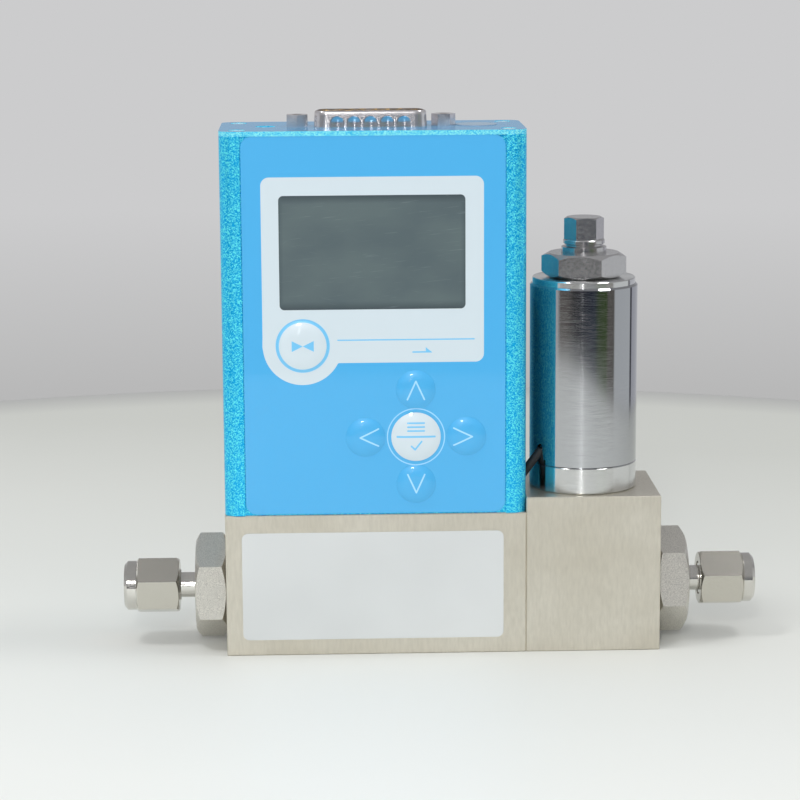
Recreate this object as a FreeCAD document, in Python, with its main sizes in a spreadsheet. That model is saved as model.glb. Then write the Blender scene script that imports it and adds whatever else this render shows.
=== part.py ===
import FreeCAD, Part
import math
import os
import re

import Sketcher

# A gas mass flow meter for bench and panel use. A steel sensor block and a steel valve block carry
# the gas from the inlet on the left to the outlet on the right, between two 1/8 inch compression
# fittings. An extruded aluminium case with a display and six keys stands on the sensor block, and
# a solenoid control valve stands on the valve block.
#
# Frame, in millimetres: +X along the flow, +Y from the front face to the back, +Z up. The origin is
# on the underside, midway between the two blocks' end faces and midway in their depth.

SIZES = {
    # Blocks
    "block_width": 69.0,
    "valve_width": 31.0,
    "block_depth": 28.0,
    "block_height": 33.0,
    "valve_height": 36.5,
    "edge_break": 0.2,
    "port_height": 13.5,
    "port_size": 11.5,
    "port_depth": 9.0,
    "land_size": 14.4,
    "land_depth": 1.0,
    "main_bore": 8.0,
    "main_length": 36.0,
    "passage": 3.0,
    "tap_bore": 1.5,
    "tap_pitch": 12.0,
    "mount_pitch_x": 40.0,
    "mount_pitch_y": 18.0,
    "mount_drill": 3.3,
    "mount_depth": 7.0,
    "tie_size": 3.0,
    "tie_head": 5.5,
    "tie_head_length": 3.0,
    "tie_side": 10.6,
    "tie_low": 3.4,
    "tie_high": 29.5,
    "tie_grip": 8.0,
    "joint_seal_size": 5.2,
    "joint_seal_wire": 0.9,
    # Fittings
    "body_flats": 21.4,
    "body_hex_length": 7.3,
    "neck_size": 5.9,
    "neck_length": 3.6,
    "fitting_thread": 7.8,
    "thread_length": 6.7,
    "inlet_nut_start": 11.3,
    "outlet_nut_start": 10.75,
    "nut_flats": 12.0,
    "nut_hex_length": 10.0,
    "nut_length": 12.8,
    "nut_round": 11.5,
    "tube_bore": 3.24,
    "socket_length": 6.4,
    "flow_bore": 2.4,
    "inlet_hex_turn": 33.0,
    "outlet_hex_turn": 18.0,
    "inlet_nut_turn": 19.5,
    "outlet_nut_turn": 43.5,
    # Case and cover
    "case_height": 86.5,
    "case_corner": 2.8,
    "case_wall": 2.0,
    "front_wall": 2.4,
    "film_width": 59.2,
    "film_gap": 0.2,
    "film_bottom": 0.3,
    "film_corner": 2.5,
    "film_thick": 0.4,
    "channel_depth": 0.5,
    "cover_lip": 1.1,
    "cover_plug": 1.6,
    "port_inset": 4.0,
    "screw_port": 5.4,
    "cover_screw": 2.0,
    "cover_head": 3.6,
    "cover_screw_length": 8.0,
    # Display and keys
    "window_width": 41.9,
    "window_tall": 25.8,
    "window_side": -0.4,
    "window_up": 60.3,
    "menu_side": 9.25,
    "menu_up": 18.0,
    "arrow_pitch_x": 11.5,
    "arrow_pitch_z": 10.9,
    "valve_key_side": -16.25,
    "valve_key_drop": 21.1,
    "arrow_size": 9.0,
    "menu_size": 11.4,
    "valve_key_size": 11.6,
    "dome_height": 0.7,
    "key_travel": 0.35,
    "key_gap": 0.08,
    "stud_size": 3.4,
    "stud_hole": 3.8,
    "switch_gap": 0.2,
    "stud_entry": 0.2,
    "switch_side": 6.0,
    "board_thick": 1.6,
    "board_side": 5.5,
    "key_board_front": 6.0,
    "main_board_front": 20.2,
    "board_top_gap": 4.5,
    "board_up": 3.0,
    # Flow sensor
    "sensor_length": 26.0,
    "sensor_depth": 10.0,
    "sensor_foot": 4.0,
    "capillary": 1.0,
    "capillary_bore": 0.6,
    "capillary_rise": 18.0,
    # Connector on the cover
    "plug_shift": -0.3,
    "shell_wide": 25.7,
    "shell_deep": 8.4,
    "shell_rise": 6.4,
    "shell_wall": 0.5,
    "shell_corner": 2.6,
    "shell_slope": 10.0,
    "flange_wide": 39.2,
    "flange_deep": 12.5,
    "flange_thick": 1.0,
    "lock_pitch": 33.3,
    "lock_flats": 4.76,
    "lock_height": 2.7,
    "lock_drill": 2.2,
    "pin_pitch": 2.77,
    "pin_row": 2.84,
    "pin_size": 1.0,
    "dimple_pitch": 3.77,
    "dimple_wide": 2.9,
    "dimple_deep": 0.35,
    # Control valve
    "valve_offset": 14.2,
    "stem_bore": 16.0,
    "stem_bore_depth": 9.0,
    "chamber_size": 10.0,
    "chamber_depth": 3.0,
    "seat_size": 5.0,
    "seat_height": 4.5,
    "orifice": 0.8,
    "outlet_side": 3.7,
    "coil_size": 24.9,
    "coil_wall": 1.25,
    "collar_height": 6.2,
    "coil_height": 41.5,
    "washer_size": 23.8,
    "washer_thick": 1.4,
    "lock_nut_flats": 17.0,
    "lock_nut_height": 5.6,
    "lock_nut_turn": 48.5,
    "stem_size": 10.4,
    "stem_rise": 3.05,
    "stem_flats": 8.0,
    "stem_hex_height": 5.15,
    "stem_turn": 1.5,
    "plunger_size": 7.0,
    "plunger_gap": 0.05,
    "plunger_length": 24.0,
    "spring_room": 8.0,
    "spring_size": 4.8,
    "spring_wire": 0.6,
    "spring_turns": 5.0,
    # Lead, label and seal
    "lead_size": 2.0,
    "slot_width": 3.2,
    "slot_height": 10.0,
    "slot_side": -6.4,
    "slot_depth": 8.0,
    "label_width": 60.0,
    "label_tall": 25.2,
    "label_thick": 0.15,
    "label_side": -0.75,
    "label_up": 3.7,
    "label_corner": 1.5,
    "dot_size": 9.4,
    "dot_side": 23.9,
    "dot_back": 1.5,
    "zero_inset": 10.3,
    "zero_hole": 3.4,
    # Clearances
    "seat_gap": 0.02,
    "slide_gap": 0.1,
}

# Places that several pieces share
LEFT = "(-(block_width + valve_width) / 2)"
RIGHT = "((block_width + valve_width) / 2)"
JOINT = "((block_width - valve_width) / 2)"
CASE_X = "(-valve_width / 2)"
VALVE_X = "((block_width - valve_width) / 2 + valve_offset)"
FRONT = "(-block_depth / 2)"
BACK = "(block_depth / 2)"
PANEL = "(-block_depth / 2 + channel_depth)"
INNER_FRONT = "(-block_depth / 2 + front_wall)"
INNER_BACK = "(block_depth / 2 - case_wall)"
KEY_BOARD = "(-block_depth / 2 + key_board_front)"
MAIN_BOARD = "(-block_depth / 2 + main_board_front)"
COIL_BASE = "(valve_height + collar_height)"
COIL_TOP = "(valve_height + collar_height + coil_height)"
NUT_BASE = "(valve_height + collar_height + coil_height + washer_thick)"
STEM_TOP = "(valve_height + collar_height + coil_height + washer_thick + lock_nut_height + stem_rise)"
CHAMBER = "(valve_height - stem_bore_depth - chamber_depth)"
PLUNGER_BASE = "(valve_height - stem_bore_depth - chamber_depth + 0.55)"
PLUNGER_TOP = "(valve_height - stem_bore_depth - chamber_depth + 0.55 + plunger_length)"

doc = FreeCAD.newDocument("FlowMeter")
sheet = doc.addObject("Spreadsheet::Sheet", "Sizes")
NAMES = re.compile(r"\b(" + "|".join(SIZES) + r")\b")
nodes = []


def fill_sheet():
    for row, (name, size) in enumerate(SIZES.items(), 1):
        sheet.set("A%d" % row, name)
        sheet.set("B%d" % row, str(size))
        sheet.setAlias("B%d" % row, name)
    doc.recompute()


def formula(text):
    """The expression with each size's name pointing at its cell."""
    return NAMES.sub(r"Sizes.\1", str(text))


def size(text):
    """The expression's value with the sheet as it stands."""
    return float(sheet.evalExpression(formula(text)))


class Drawing:
    """A sketch on one of its body's origin planes, each dimension tied to the sheet."""

    # Plane, its offset's sign along the axis, and that axis's normal
    PLANES = {"XY": ("XY_Plane", 1), "XZ": ("XZ_Plane", -1), "YZ": ("YZ_Plane", 1)}

    def __init__(self, body, plane, at="0"):
        role, self.normal = self.PLANES[plane]
        origin_plane = [f for f in body.Origin.OriginFeatures if f.Role == role][0]
        self.sketch = body.newObject("Sketcher::SketchObject", body.Label + "_sketch")
        self.sketch.AttachmentSupport = (origin_plane, [""])
        self.sketch.MapMode = "FlatFace"
        self.sketch.setExpression("AttachmentOffset.Base.z", formula("%d * (%s)" % (self.normal, at)))
        self.count = 0

    def tie(self, kind, where, text):
        if kind == "Radius":
            constraint = Sketcher.Constraint(kind, where[0], size(text))
        else:
            constraint = Sketcher.Constraint(kind, -1, 1, where[0], where[1], size(text))
        index = self.sketch.addConstraint(constraint)
        self.count += 1
        self.sketch.renameConstraint(index, "size%d" % self.count)
        self.sketch.setExpression("Constraints.size%d" % self.count, formula(text))

    def outline(self, points):
        """A closed run of straight lines through the points."""
        corners = [FreeCAD.Vector(size(x), size(y), 0) for x, y in points]
        first = self.sketch.GeometryCount
        total = len(points)
        for i in range(total):
            self.sketch.addGeometry(Part.LineSegment(corners[i], corners[(i + 1) % total]), False)
        for i in range(total):
            following = first + (i + 1) % total
            self.sketch.addConstraint(Sketcher.Constraint("Coincident", first + i, 2, following, 1))
        for i, (x, y) in enumerate(points):
            self.tie("DistanceX", (first + i, 1), x)
            self.tie("DistanceY", (first + i, 1), y)
        return self

    def box(self, x0, x1, y0, y1):
        return self.outline([(x0, y0), (x1, y0), (x1, y1), (x0, y1)])

    def circle(self, x, y, diameter):
        centre = FreeCAD.Vector(size(x), size(y), 0)
        shape = Part.Circle(centre, FreeCAD.Vector(0, 0, 1), size(diameter) / 2)
        index = self.sketch.addGeometry(shape, False)
        self.tie("DistanceX", (index, 3), x)
        self.tie("DistanceY", (index, 3), y)
        self.tie("Radius", (index,), "(%s) / 2" % diameter)
        return self

    def hexagon(self, flats, turn="0"):
        reach = "(%s) / 2 / cos(30)" % flats
        spokes = ["((%s) + %d)" % (turn, 60 * i) for i in range(6)]
        return self.outline([("%s * cos(%s)" % (reach, a), "%s * sin(%s)" % (reach, a)) for a in spokes])


def new_body(name, many=False):
    """One sub-part; many lets it hold a group of separate solids."""
    body = doc.addObject("PartDesign::Body", name)
    body.Label = name
    body.AllowCompound = many
    nodes.append(body)
    return body


def place(body, x="0", y="0", z="0", yaw=0):
    body.Placement = FreeCAD.Placement(FreeCAD.Vector(), FreeCAD.Rotation(FreeCAD.Vector(0, 0, 1), yaw))
    for axis, text in (("x", x), ("y", y), ("z", z)):
        body.setExpression("Placement.Base." + axis, formula(text))


def feature(body, kind, drawing, **settings):
    made = body.newObject("PartDesign::" + kind, "%s_%s" % (body.Label, kind.lower()))
    made.Profile = drawing.sketch
    for name, setting in settings.items():
        setattr(made, name, setting)
    drawing.sketch.Visibility = False
    return made


def pad(body, drawing, length, up=True):
    """Material added along the positive axis, or the negative one."""
    made = feature(body, "Pad", drawing, Reversed=(drawing.normal > 0) != up)
    made.setExpression("Length", formula(length))
    return made


def pocket(body, drawing, length, up=True):
    """Material taken away along the positive axis, or the negative one."""
    made = feature(body, "Pocket", drawing, Reversed=(drawing.normal > 0) == up)
    made.setExpression("Length", formula(length))
    return made


def turn(body, drawing, axis):
    return feature(body, "Revolution", drawing, ReferenceAxis=(drawing.sketch, [axis]), Angle=360)


def groove(body, drawing, axis):
    return feature(body, "Groove", drawing, ReferenceAxis=(drawing.sketch, [axis]), Angle=360)


def straight_edges(shape, axis, wanted):
    """Names of the straight edges along an axis whose middle passes the test."""
    found = []
    for number, edge in enumerate(shape.Edges, 1):
        if not isinstance(edge.Curve, Part.Line):
            continue
        run = edge.Vertexes[-1].Point - edge.Vertexes[0].Point
        if abs(abs(run.dot(axis)) - run.Length) < 1e-6 and wanted(edge.CenterOfMass):
            found.append("Edge%d" % number)
    return found


def round_edges(body, radius, axis, wanted):
    """Fillets on the straight edges along an axis that pass the test."""
    doc.recompute()
    base = body.Tip
    made = body.newObject("PartDesign::Fillet", body.Label + "_fillet")
    made.Base = (base, straight_edges(base.Shape, axis, wanted))
    made.setExpression("Radius", formula(radius))
    return made


def chamfer_rims(body, leg, wanted):
    """Chamfers on the round edges whose middle passes the test."""
    doc.recompute()
    base = body.Tip
    rims = ["Edge%d" % number for number, edge in enumerate(base.Shape.Edges, 1)
            if isinstance(edge.Curve, Part.Circle) and wanted(edge.CenterOfMass)]
    made = body.newObject("PartDesign::Chamfer", body.Label + "_chamfer")
    made.Base = (base, rims)
    made.setExpression("Size", formula(leg))
    return made


def break_edges(body, leg):
    """A small chamfer on every edge that the body has so far."""
    doc.recompute()
    base = body.Tip
    made = body.newObject("PartDesign::Chamfer", body.Label + "_chamfer")
    made.Base = (base, ["Edge%d" % number for number in range(1, len(base.Shape.Edges) + 1)])
    made.setExpression("Size", formula(leg))
    return made


def hex_corners(body, plane, axis, flats, end, inward, share=0.97):
    """The turned cone that takes the corners off one end of a hexagon, from a share of its flats."""
    reach = "(%s) / 2 * %s" % (flats, share)
    drop = "(%s) * 0.09 * %d" % (flats, inward)
    rise = "(%s) * 0.09 / tan(30)" % flats
    near = (end, reach)
    far = (end, "%s + %s" % (reach, rise))
    low = ("%s + %s" % (end, drop), "%s + %s" % (reach, rise))
    points = [near, far, low]
    if axis == "V_Axis":
        points = [(y, x) for x, y in points]
    return groove(body, Drawing(body, plane).outline(points), axis)


def ring(name, size_across, wire, axis="V_Axis", plane="XZ"):
    """A round seal ring about the origin of its own body."""
    body = new_body(name)
    centre = ("(%s) / 2" % size_across, "0")
    if axis == "H_Axis":
        centre = centre[::-1]
    turn(body, Drawing(body, plane).circle(centre[0], centre[1], wire), axis)
    return body


X = FreeCAD.Vector(1, 0, 0)
Y = FreeCAD.Vector(0, 1, 0)
Z = FreeCAD.Vector(0, 0, 1)


# Flow path


def port(body, face, inward):
    """A threaded port in an end face, with its seal land; inward is +1 or -1 along X."""
    up = inward > 0
    pocket(body, Drawing(body, "YZ", face).circle("0", "port_height", "port_size"), "port_depth", up)
    pocket(body, Drawing(body, "YZ", face).circle("0", "port_height", "land_size"), "land_depth", up)


TIE_PLACES = [("%d * tie_side" % side, level) for side in (-1, 1) for level in ("tie_low", "tie_high")]


def make_sensor_block():
    body = new_body("sensor_block")
    pad(body, Drawing(body, "XY").box(LEFT, JOINT, FRONT, BACK), "block_height")
    break_edges(body, "edge_break")
    port(body, LEFT, 1)
    start = "%s + port_depth" % LEFT
    pocket(body, Drawing(body, "YZ", start).circle("0", "port_height", "main_bore"), "main_length")
    tail = "%s + port_depth + main_length" % LEFT
    pocket(body, Drawing(body, "YZ", tail).circle("0", "port_height", "passage"),
           "block_width - port_depth - main_length")
    land = "joint_seal_size + joint_seal_wire + 2 * seat_gap"
    pocket(body, Drawing(body, "YZ", JOINT).circle("0", "port_height", land), "joint_seal_wire", up=False)
    taps = Drawing(body, "XY", "block_height")
    for side in (-1, 1):
        taps.circle("%s + %d * tap_pitch / 2" % (CASE_X, side), "0", "tap_bore")
    pocket(body, taps, "block_height - port_height", up=False)
    feet = Drawing(body, "XY")
    for x_side in (-1, 1):
        for y_side in (-1, 1):
            feet.circle("%s + %d * mount_pitch_x / 2" % (CASE_X, x_side),
                        "%d * mount_pitch_y / 2" % y_side, "mount_drill")
    pocket(body, feet, "mount_depth")
    ties = Drawing(body, "YZ", JOINT)
    for y, z in TIE_PLACES:
        ties.circle(y, z, "tie_size + 2 * seat_gap")
    pocket(body, ties, "tie_grip + 0.5", up=False)
    foot_screws = Drawing(body, "XY", "block_height")
    for side in (-1, 1):
        foot_screws.circle("%s + %d * (sensor_length / 2 - 2.5)" % (CASE_X, side), "0", "2 + 2 * seat_gap")
    pocket(body, foot_screws, "5", up=False)
    bracket_screws = Drawing(body, "XY", "block_height")
    for side in (-1, 1):
        bracket_screws.circle("%s + %d * 12" % (CASE_X, side), BRACKET_SCREW_Y, "2 + 2 * seat_gap")
    pocket(body, bracket_screws, "4", up=False)
    return body


def make_valve_block():
    body = new_body("valve_block")
    pad(body, Drawing(body, "XY").box(JOINT, RIGHT, FRONT, BACK), "valve_height")
    break_edges(body, "edge_break")
    port(body, RIGHT, -1)
    pocket(body, Drawing(body, "YZ", JOINT).circle("0", "port_height", "passage"),
           "valve_offset + passage / 2")
    bore = Drawing(body, "XY", "valve_height").circle(VALVE_X, "0", "stem_bore")
    pocket(body, bore, "stem_bore_depth", up=False)
    chamber = Drawing(body, "XY", "valve_height").circle(VALVE_X, "0", "chamber_size")
    pocket(body, chamber, "stem_bore_depth + chamber_depth", up=False)
    seat = Drawing(body, "XY", CHAMBER).circle(VALVE_X, "0", "seat_size")
    pocket(body, seat, "seat_height", up=False)
    rise = Drawing(body, "XY", "port_height").circle(VALVE_X, "0", "passage * 0.8")
    pocket(body, rise, "%s - port_height" % CHAMBER)
    fall = Drawing(body, "XY", "port_height").circle("%s + outlet_side" % VALVE_X, "0", "passage * 0.7")
    pocket(body, fall, "%s - port_height" % CHAMBER)
    run = Drawing(body, "YZ", "%s - port_depth" % RIGHT).circle("0", "port_height", "passage")
    pocket(body, run, "valve_width - valve_offset - outlet_side - port_depth + passage / 2", up=False)
    heads = Drawing(body, "YZ", RIGHT)
    shanks = Drawing(body, "YZ", RIGHT)
    for y, z in TIE_PLACES:
        heads.circle(y, z, "tie_head + 0.3")
        shanks.circle(y, z, "tie_size + 2 * slide_gap")
    pocket(body, heads, "tie_head_length + 0.3", up=False)
    pocket(body, shanks, "valve_width", up=False)
    return body


def make_tie_screws():
    """Socket head screws that hold the valve block to the sensor block."""
    body = new_body("tie_screws", many=True)
    heads = Drawing(body, "YZ", "%s - 0.3" % RIGHT)
    shanks = Drawing(body, "YZ", "%s - 0.3 - tie_head_length" % RIGHT)
    sockets = Drawing(body, "YZ", "%s - 0.3" % RIGHT)
    for y, z in TIE_PLACES:
        heads.circle(y, z, "tie_head")
        shanks.circle(y, z, "tie_size")
        sockets.circle(y, z, "tie_size * 0.85")
    pad(body, heads, "tie_head_length", up=False)
    pad(body, shanks, "valve_width + tie_grip - tie_head_length - 0.3", up=False)
    pocket(body, sockets, "tie_head_length / 2", up=False)
    return body


def make_joint_seal():
    body = ring("joint_seal", "joint_seal_size", "joint_seal_wire - seat_gap", "H_Axis")
    place(body, "%s - joint_seal_wire / 2" % JOINT, "0", "port_height")
    return body


def make_flow_element():
    """The laminar bypass core: a grooved plug that fills the main bore between the taps."""
    body = new_body("flow_element")
    length = "tap_pitch - tap_bore - 1"
    core = Drawing(body, "YZ").circle("0", "0", "main_bore - 2 * seat_gap")
    pad(body, core, length)
    slot = Drawing(body, "YZ").box("-0.4", "0.4", "main_bore / 2 - 1.2", "main_bore / 2 + 1")
    cut = pocket(body, slot, length)
    doc.recompute()
    pattern = body.newObject("PartDesign::PolarPattern", "flow_element_slots")
    pattern.Originals = [cut]
    pattern.Axis = (slot.sketch, ["N_Axis"])
    pattern.Angle = 360
    pattern.Occurrences = 10
    body.Tip = pattern
    place(body, "%s - (%s) / 2" % (CASE_X, length), "0", "port_height")
    return body


# Compression fittings, each in its own frame with +X out of the block


def side_frame(side):
    """Where a fitting's own frame lies: its face on the block's end face."""
    if side == "inlet":
        return dict(x=LEFT, z="port_height", yaw=180)
    return dict(x=RIGHT, z="port_height")


BODY_END = "(body_hex_length + neck_length + thread_length)"
SOCKET_END = "(body_hex_length + neck_length + thread_length - 2.2)"
SHOULDER = "(body_hex_length + neck_length + thread_length + 2.1)"


def make_fitting_body(side):
    body = new_body(side + "_fitting")
    hexagon = Drawing(body, "YZ").hexagon("body_flats", side + "_hex_turn")
    pad(body, hexagon, "body_hex_length")
    hex_corners(body, "XZ", "H_Axis", "body_flats", "0", 1)
    hex_corners(body, "XZ", "H_Axis", "body_flats", "body_hex_length", -1, 0.985)
    shank = "port_size / 2 - seat_gap"
    spindle = Drawing(body, "XZ").outline([
        ("-port_depth + 0.5", "0"),
        ("-port_depth + 0.5", shank + " - 0.8"),
        ("-port_depth + 1.3", shank),
        ("0", shank),
        ("0", "body_flats / 2 - 3"),
        ("body_hex_length", "body_flats / 2 - 3"),
        ("body_hex_length", "neck_size / 2"),
        ("body_hex_length + neck_length", "neck_size / 2"),
        ("body_hex_length + neck_length", "fitting_thread / 2 - 0.4"),
        ("body_hex_length + neck_length + 0.4", "fitting_thread / 2"),
        (BODY_END + " - 0.4", "fitting_thread / 2"),
        (BODY_END, "fitting_thread / 2 - 0.4"),
        (BODY_END, "0"),
    ])
    turn(body, spindle, "H_Axis")
    hollow = Drawing(body, "XZ").outline([
        ("-port_depth", "0"),
        ("-port_depth", "flow_bore / 2"),
        (SOCKET_END + " - socket_length", "flow_bore / 2"),
        (SOCKET_END + " - socket_length", "tube_bore / 2"),
        (SOCKET_END, "tube_bore / 2"),
        (BODY_END, "tube_bore / 2 + 1"),
        (BODY_END + " + 1", "tube_bore / 2 + 1"),
        (BODY_END + " + 1", "0"),
    ])
    groove(body, hollow, "H_Axis")
    place(body, **side_frame(side))
    return body


def make_fitting_seal(side):
    wire = "land_depth - seat_gap"
    body = ring(side + "_seal", "port_size + land_depth + 0.2", wire, "H_Axis")
    frame = side_frame(side)
    frame["x"] += " %s land_depth / 2" % ("+" if side == "inlet" else "-")
    place(body, **frame)
    return body


def make_front_ferrule(side):
    """The cone that bites on the tube, in the mouth of the fitting body."""
    body = new_body(side + "_front_ferrule")
    section = Drawing(body, "XZ").outline([
        (SOCKET_END + " + 0.6", "tube_bore / 2"),
        (SOCKET_END + " + 0.6", "tube_bore / 2 + 0.6 / 2.2 - seat_gap"),
        (BODY_END, "tube_bore / 2 + 1 - seat_gap"),
        (BODY_END + " + 1", "tube_bore / 2 + 1 - seat_gap"),
        (BODY_END + " + 1", "tube_bore / 2"),
    ])
    turn(body, section, "H_Axis")
    place(body, **side_frame(side))
    return body


def make_back_ferrule(side):
    """The ring behind the cone, pressed forward by the nut's shoulder."""
    body = new_body(side + "_back_ferrule")
    section = Drawing(body, "XZ").outline([
        (BODY_END + " + 1", "tube_bore / 2"),
        (BODY_END + " + 1", "tube_bore / 2 + 0.5"),
        (SHOULDER + " - 0.6", "tube_bore / 2 + 0.9"),
        (SHOULDER, "tube_bore / 2 + 0.9"),
        (SHOULDER, "tube_bore / 2"),
    ])
    turn(body, section, "H_Axis")
    place(body, **side_frame(side))
    return body


def make_fitting_nut(side):
    body = new_body(side + "_nut")
    start = side + "_nut_start"
    hexagon_end = start + " + nut_hex_length"
    end = "(%s + nut_length)" % start
    hexagon = Drawing(body, "YZ", start).hexagon("nut_flats", side + "_nut_turn")
    pad(body, hexagon, "nut_hex_length")
    hex_corners(body, "XZ", "H_Axis", "nut_flats", start, 1)
    hex_corners(body, "XZ", "H_Axis", "nut_flats", hexagon_end, -1)
    round_end = Drawing(body, "XZ").outline([
        (hexagon_end + " - 1", "0"),
        (hexagon_end + " - 1", "nut_round / 2 - 0.2"),
        (hexagon_end, "nut_round / 2"),
        (end + " - 0.7", "nut_round / 2"),
        (end, "nut_round / 2 - 0.7"),
        (end, "0"),
    ])
    turn(body, round_end, "H_Axis")
    hollow = Drawing(body, "XZ").outline([
        (start + " - 1", "0"),
        (start + " - 1", "fitting_thread / 2 + seat_gap"),
        (BODY_END + " + 0.3", "fitting_thread / 2 + seat_gap"),
        (BODY_END + " + 0.3", "tube_bore / 2 + 1.1"),
        (SHOULDER, "tube_bore / 2 + 1.1"),
        (SHOULDER, "tube_bore / 2 + 0.05"),
        (end + " - 0.8", "tube_bore / 2 + 0.05"),
        (end + " + 0.2", "tube_bore / 2 + 1.05"),
        (end + " + 0.2", "0"),
    ])
    groove(body, hollow, "H_Axis")
    place(body, **side_frame(side))
    return body


# Flow sensor on top of the block, inside the case

SENSOR_TOP = "(block_height + sensor_foot)"
SENSOR_SCREW_X = "(sensor_length / 2 - 2.5)"


def make_sensor_foot():
    """The manifold that carries the capillary, sealed to the block's two taps."""
    body = new_body("sensor_foot")
    pad(body, Drawing(body, "XY").box("-sensor_length / 2", "sensor_length / 2",
                                      "-sensor_depth / 2", "sensor_depth / 2"), "sensor_foot")
    holes = Drawing(body, "XY")
    lands = Drawing(body, "XY")
    screws = Drawing(body, "XY")
    for side in (-1, 1):
        holes.circle("%d * tap_pitch / 2" % side, "0", "capillary + 2 * seat_gap")
        lands.circle("%d * tap_pitch / 2" % side, "0", "3.8")
        screws.circle("%d * %s" % (side, SENSOR_SCREW_X), "0", "2.2")
    pocket(body, holes, "sensor_foot")
    pocket(body, lands, "0.8")
    pocket(body, screws, "sensor_foot")
    place(body, CASE_X, "0", "block_height")
    return body


def make_sensor_seals():
    body = new_body("sensor_seals", many=True)
    for side in (-1, 1):
        half = Drawing(body, "XY", "0.4 - 0.38")
        half.circle("%d * tap_pitch / 2" % side, "0", "3.6")
        half.circle("%d * tap_pitch / 2" % side, "0", "2.0")
        pad(body, half, "0.76")
    place(body, CASE_X, "0", "block_height")
    return body


def make_capillary():
    """The heated tube: up from one tap, across, and down to the other."""
    bend = 2.5
    reach = size("tap_pitch / 2")
    low = size("block_height + 1.2")
    high = size("block_height + sensor_foot + capillary_rise")
    across = size(CASE_X)

    def point(x, z):
        return FreeCAD.Vector(across + x, 0, z)

    def corner(side):
        """The quarter bend between the riser and the run across."""
        middle = bend * (1 - math.sqrt(0.5))
        return (point(side * reach, high - bend), point(side * (reach - middle), high - middle),
                point(side * (reach - bend), high))

    left, right = corner(-1), corner(1)
    path = Part.Wire([
        Part.LineSegment(point(-reach, low), left[0]).toShape(),
        Part.Arc(*left).toShape(),
        Part.LineSegment(left[2], right[2]).toShape(),
        Part.Arc(right[2], right[1], right[0]).toShape(),
        Part.LineSegment(right[0], point(reach, low)).toShape(),
    ])
    skins = []
    for across_size in ("capillary", "capillary_bore"):
        rim = Part.Circle(point(-reach, low), Z, size(across_size) / 2).toShape()
        skins.append(path.makePipeShell([Part.Wire([rim])], True, False))
    tube = doc.addObject("Part::Feature", "capillary")
    tube.Label = "capillary_tube"
    tube.Shape = skins[0].cut(skins[1])
    nodes.append(tube)
    return tube


def make_sensor_windings():
    """The two heater windings on the run across."""
    body = new_body("sensor_windings", many=True)
    for side in (-1, 1):
        winding = Drawing(body, "XZ")
        winding.box("%d * 0.3" % side, "%d * 3.2" % side, "capillary / 2 + seat_gap", "capillary / 2 + 0.6")
        turn(body, winding, "H_Axis")
    place(body, CASE_X, "0", "%s + capillary_rise" % SENSOR_TOP)
    return body


def make_sensor_cover():
    """The shell that keeps draughts off the capillary."""
    body = new_body("sensor_cover")
    half = "(tap_pitch / 2 + 1.8)"
    rise = "(capillary_rise + 3)"
    pad(body, Drawing(body, "XY").box("-" + half, half, "-sensor_depth / 2", "sensor_depth / 2"), rise)
    pocket(body, Drawing(body, "XY").box("-%s + 0.8" % half, "%s - 0.8" % half,
                                         "-sensor_depth / 2 + 1", "sensor_depth / 2 - 1"), rise + " - 1")
    place(body, CASE_X, "0", SENSOR_TOP)
    return body


def make_sensor_screws():
    body = new_body("sensor_screws", many=True)
    heads = Drawing(body, "XY", "sensor_foot")
    shanks = Drawing(body, "XY", "sensor_foot")
    sockets = Drawing(body, "XY", "sensor_foot + 1.5")
    for side in (-1, 1):
        heads.circle("%d * %s" % (side, SENSOR_SCREW_X), "0", "3.6")
        shanks.circle("%d * %s" % (side, SENSOR_SCREW_X), "0", "2")
        sockets.circle("%d * %s" % (side, SENSOR_SCREW_X), "0", "1.6")
    pad(body, heads, "1.5")
    pad(body, shanks, "sensor_foot + 4.5", up=False)
    pocket(body, sockets, "0.8", up=False)
    place(body, CASE_X, "0", "block_height")
    return body


# Case, drawn about its own centre line and set on the sensor block

HALF_WIDE = "(block_width / 2)"
BOARD_HALF = "(block_width / 2 - board_side)"
ZERO_X = "(zero_inset - block_width / 2)"
CORNER_PORTS = [("%d * (block_width / 2 - port_inset)" % a, "%d * (block_depth / 2 - port_inset)" % b)
                for a in (-1, 1) for b in (-1, 1)]
KEYS = {
    "key_valve": ("valve_key_side", "(window_up - valve_key_drop)", "valve_key_size"),
    "key_menu": ("menu_side", "menu_up", "menu_size"),
    "key_up": ("menu_side", "menu_up + arrow_pitch_z", "arrow_size"),
    "key_down": ("menu_side", "menu_up - arrow_pitch_z", "arrow_size"),
    "key_left": ("menu_side - arrow_pitch_x", "menu_up", "arrow_size"),
    "key_right": ("menu_side + arrow_pitch_x", "menu_up", "arrow_size"),
}
BRACKET_FOOT = 6.0
BRACKET_THICK = 1.5
BRACKET_SCREW_Y = "(block_depth / 2 - case_wall - %s)" % (BRACKET_FOOT - 2.6)
BRACKET_HOLE_UP = 7.0


def board_rails(body, front, depth_each_side=1.6):
    """A pair of grooved ribs on the side walls that hold one board's edges."""
    near = "(%s - %s)" % (front, depth_each_side)
    far = "(%s + board_thick + %s)" % (front, depth_each_side)
    for side in (-1, 1):
        rail = Drawing(body, "XY").box("%d * (%s - 2)" % (side, BOARD_HALF),
                                       "%d * (%s - case_wall + 0.1)" % (side, HALF_WIDE), near, far)
        pad(body, rail, "case_height")


def board_grooves(body, front):
    grooves = Drawing(body, "XY").box("-%s - slide_gap" % BOARD_HALF, "%s + slide_gap" % BOARD_HALF,
                                      "%s - slide_gap" % front, "%s + board_thick + slide_gap" % front)
    pocket(body, grooves, "case_height")


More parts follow.
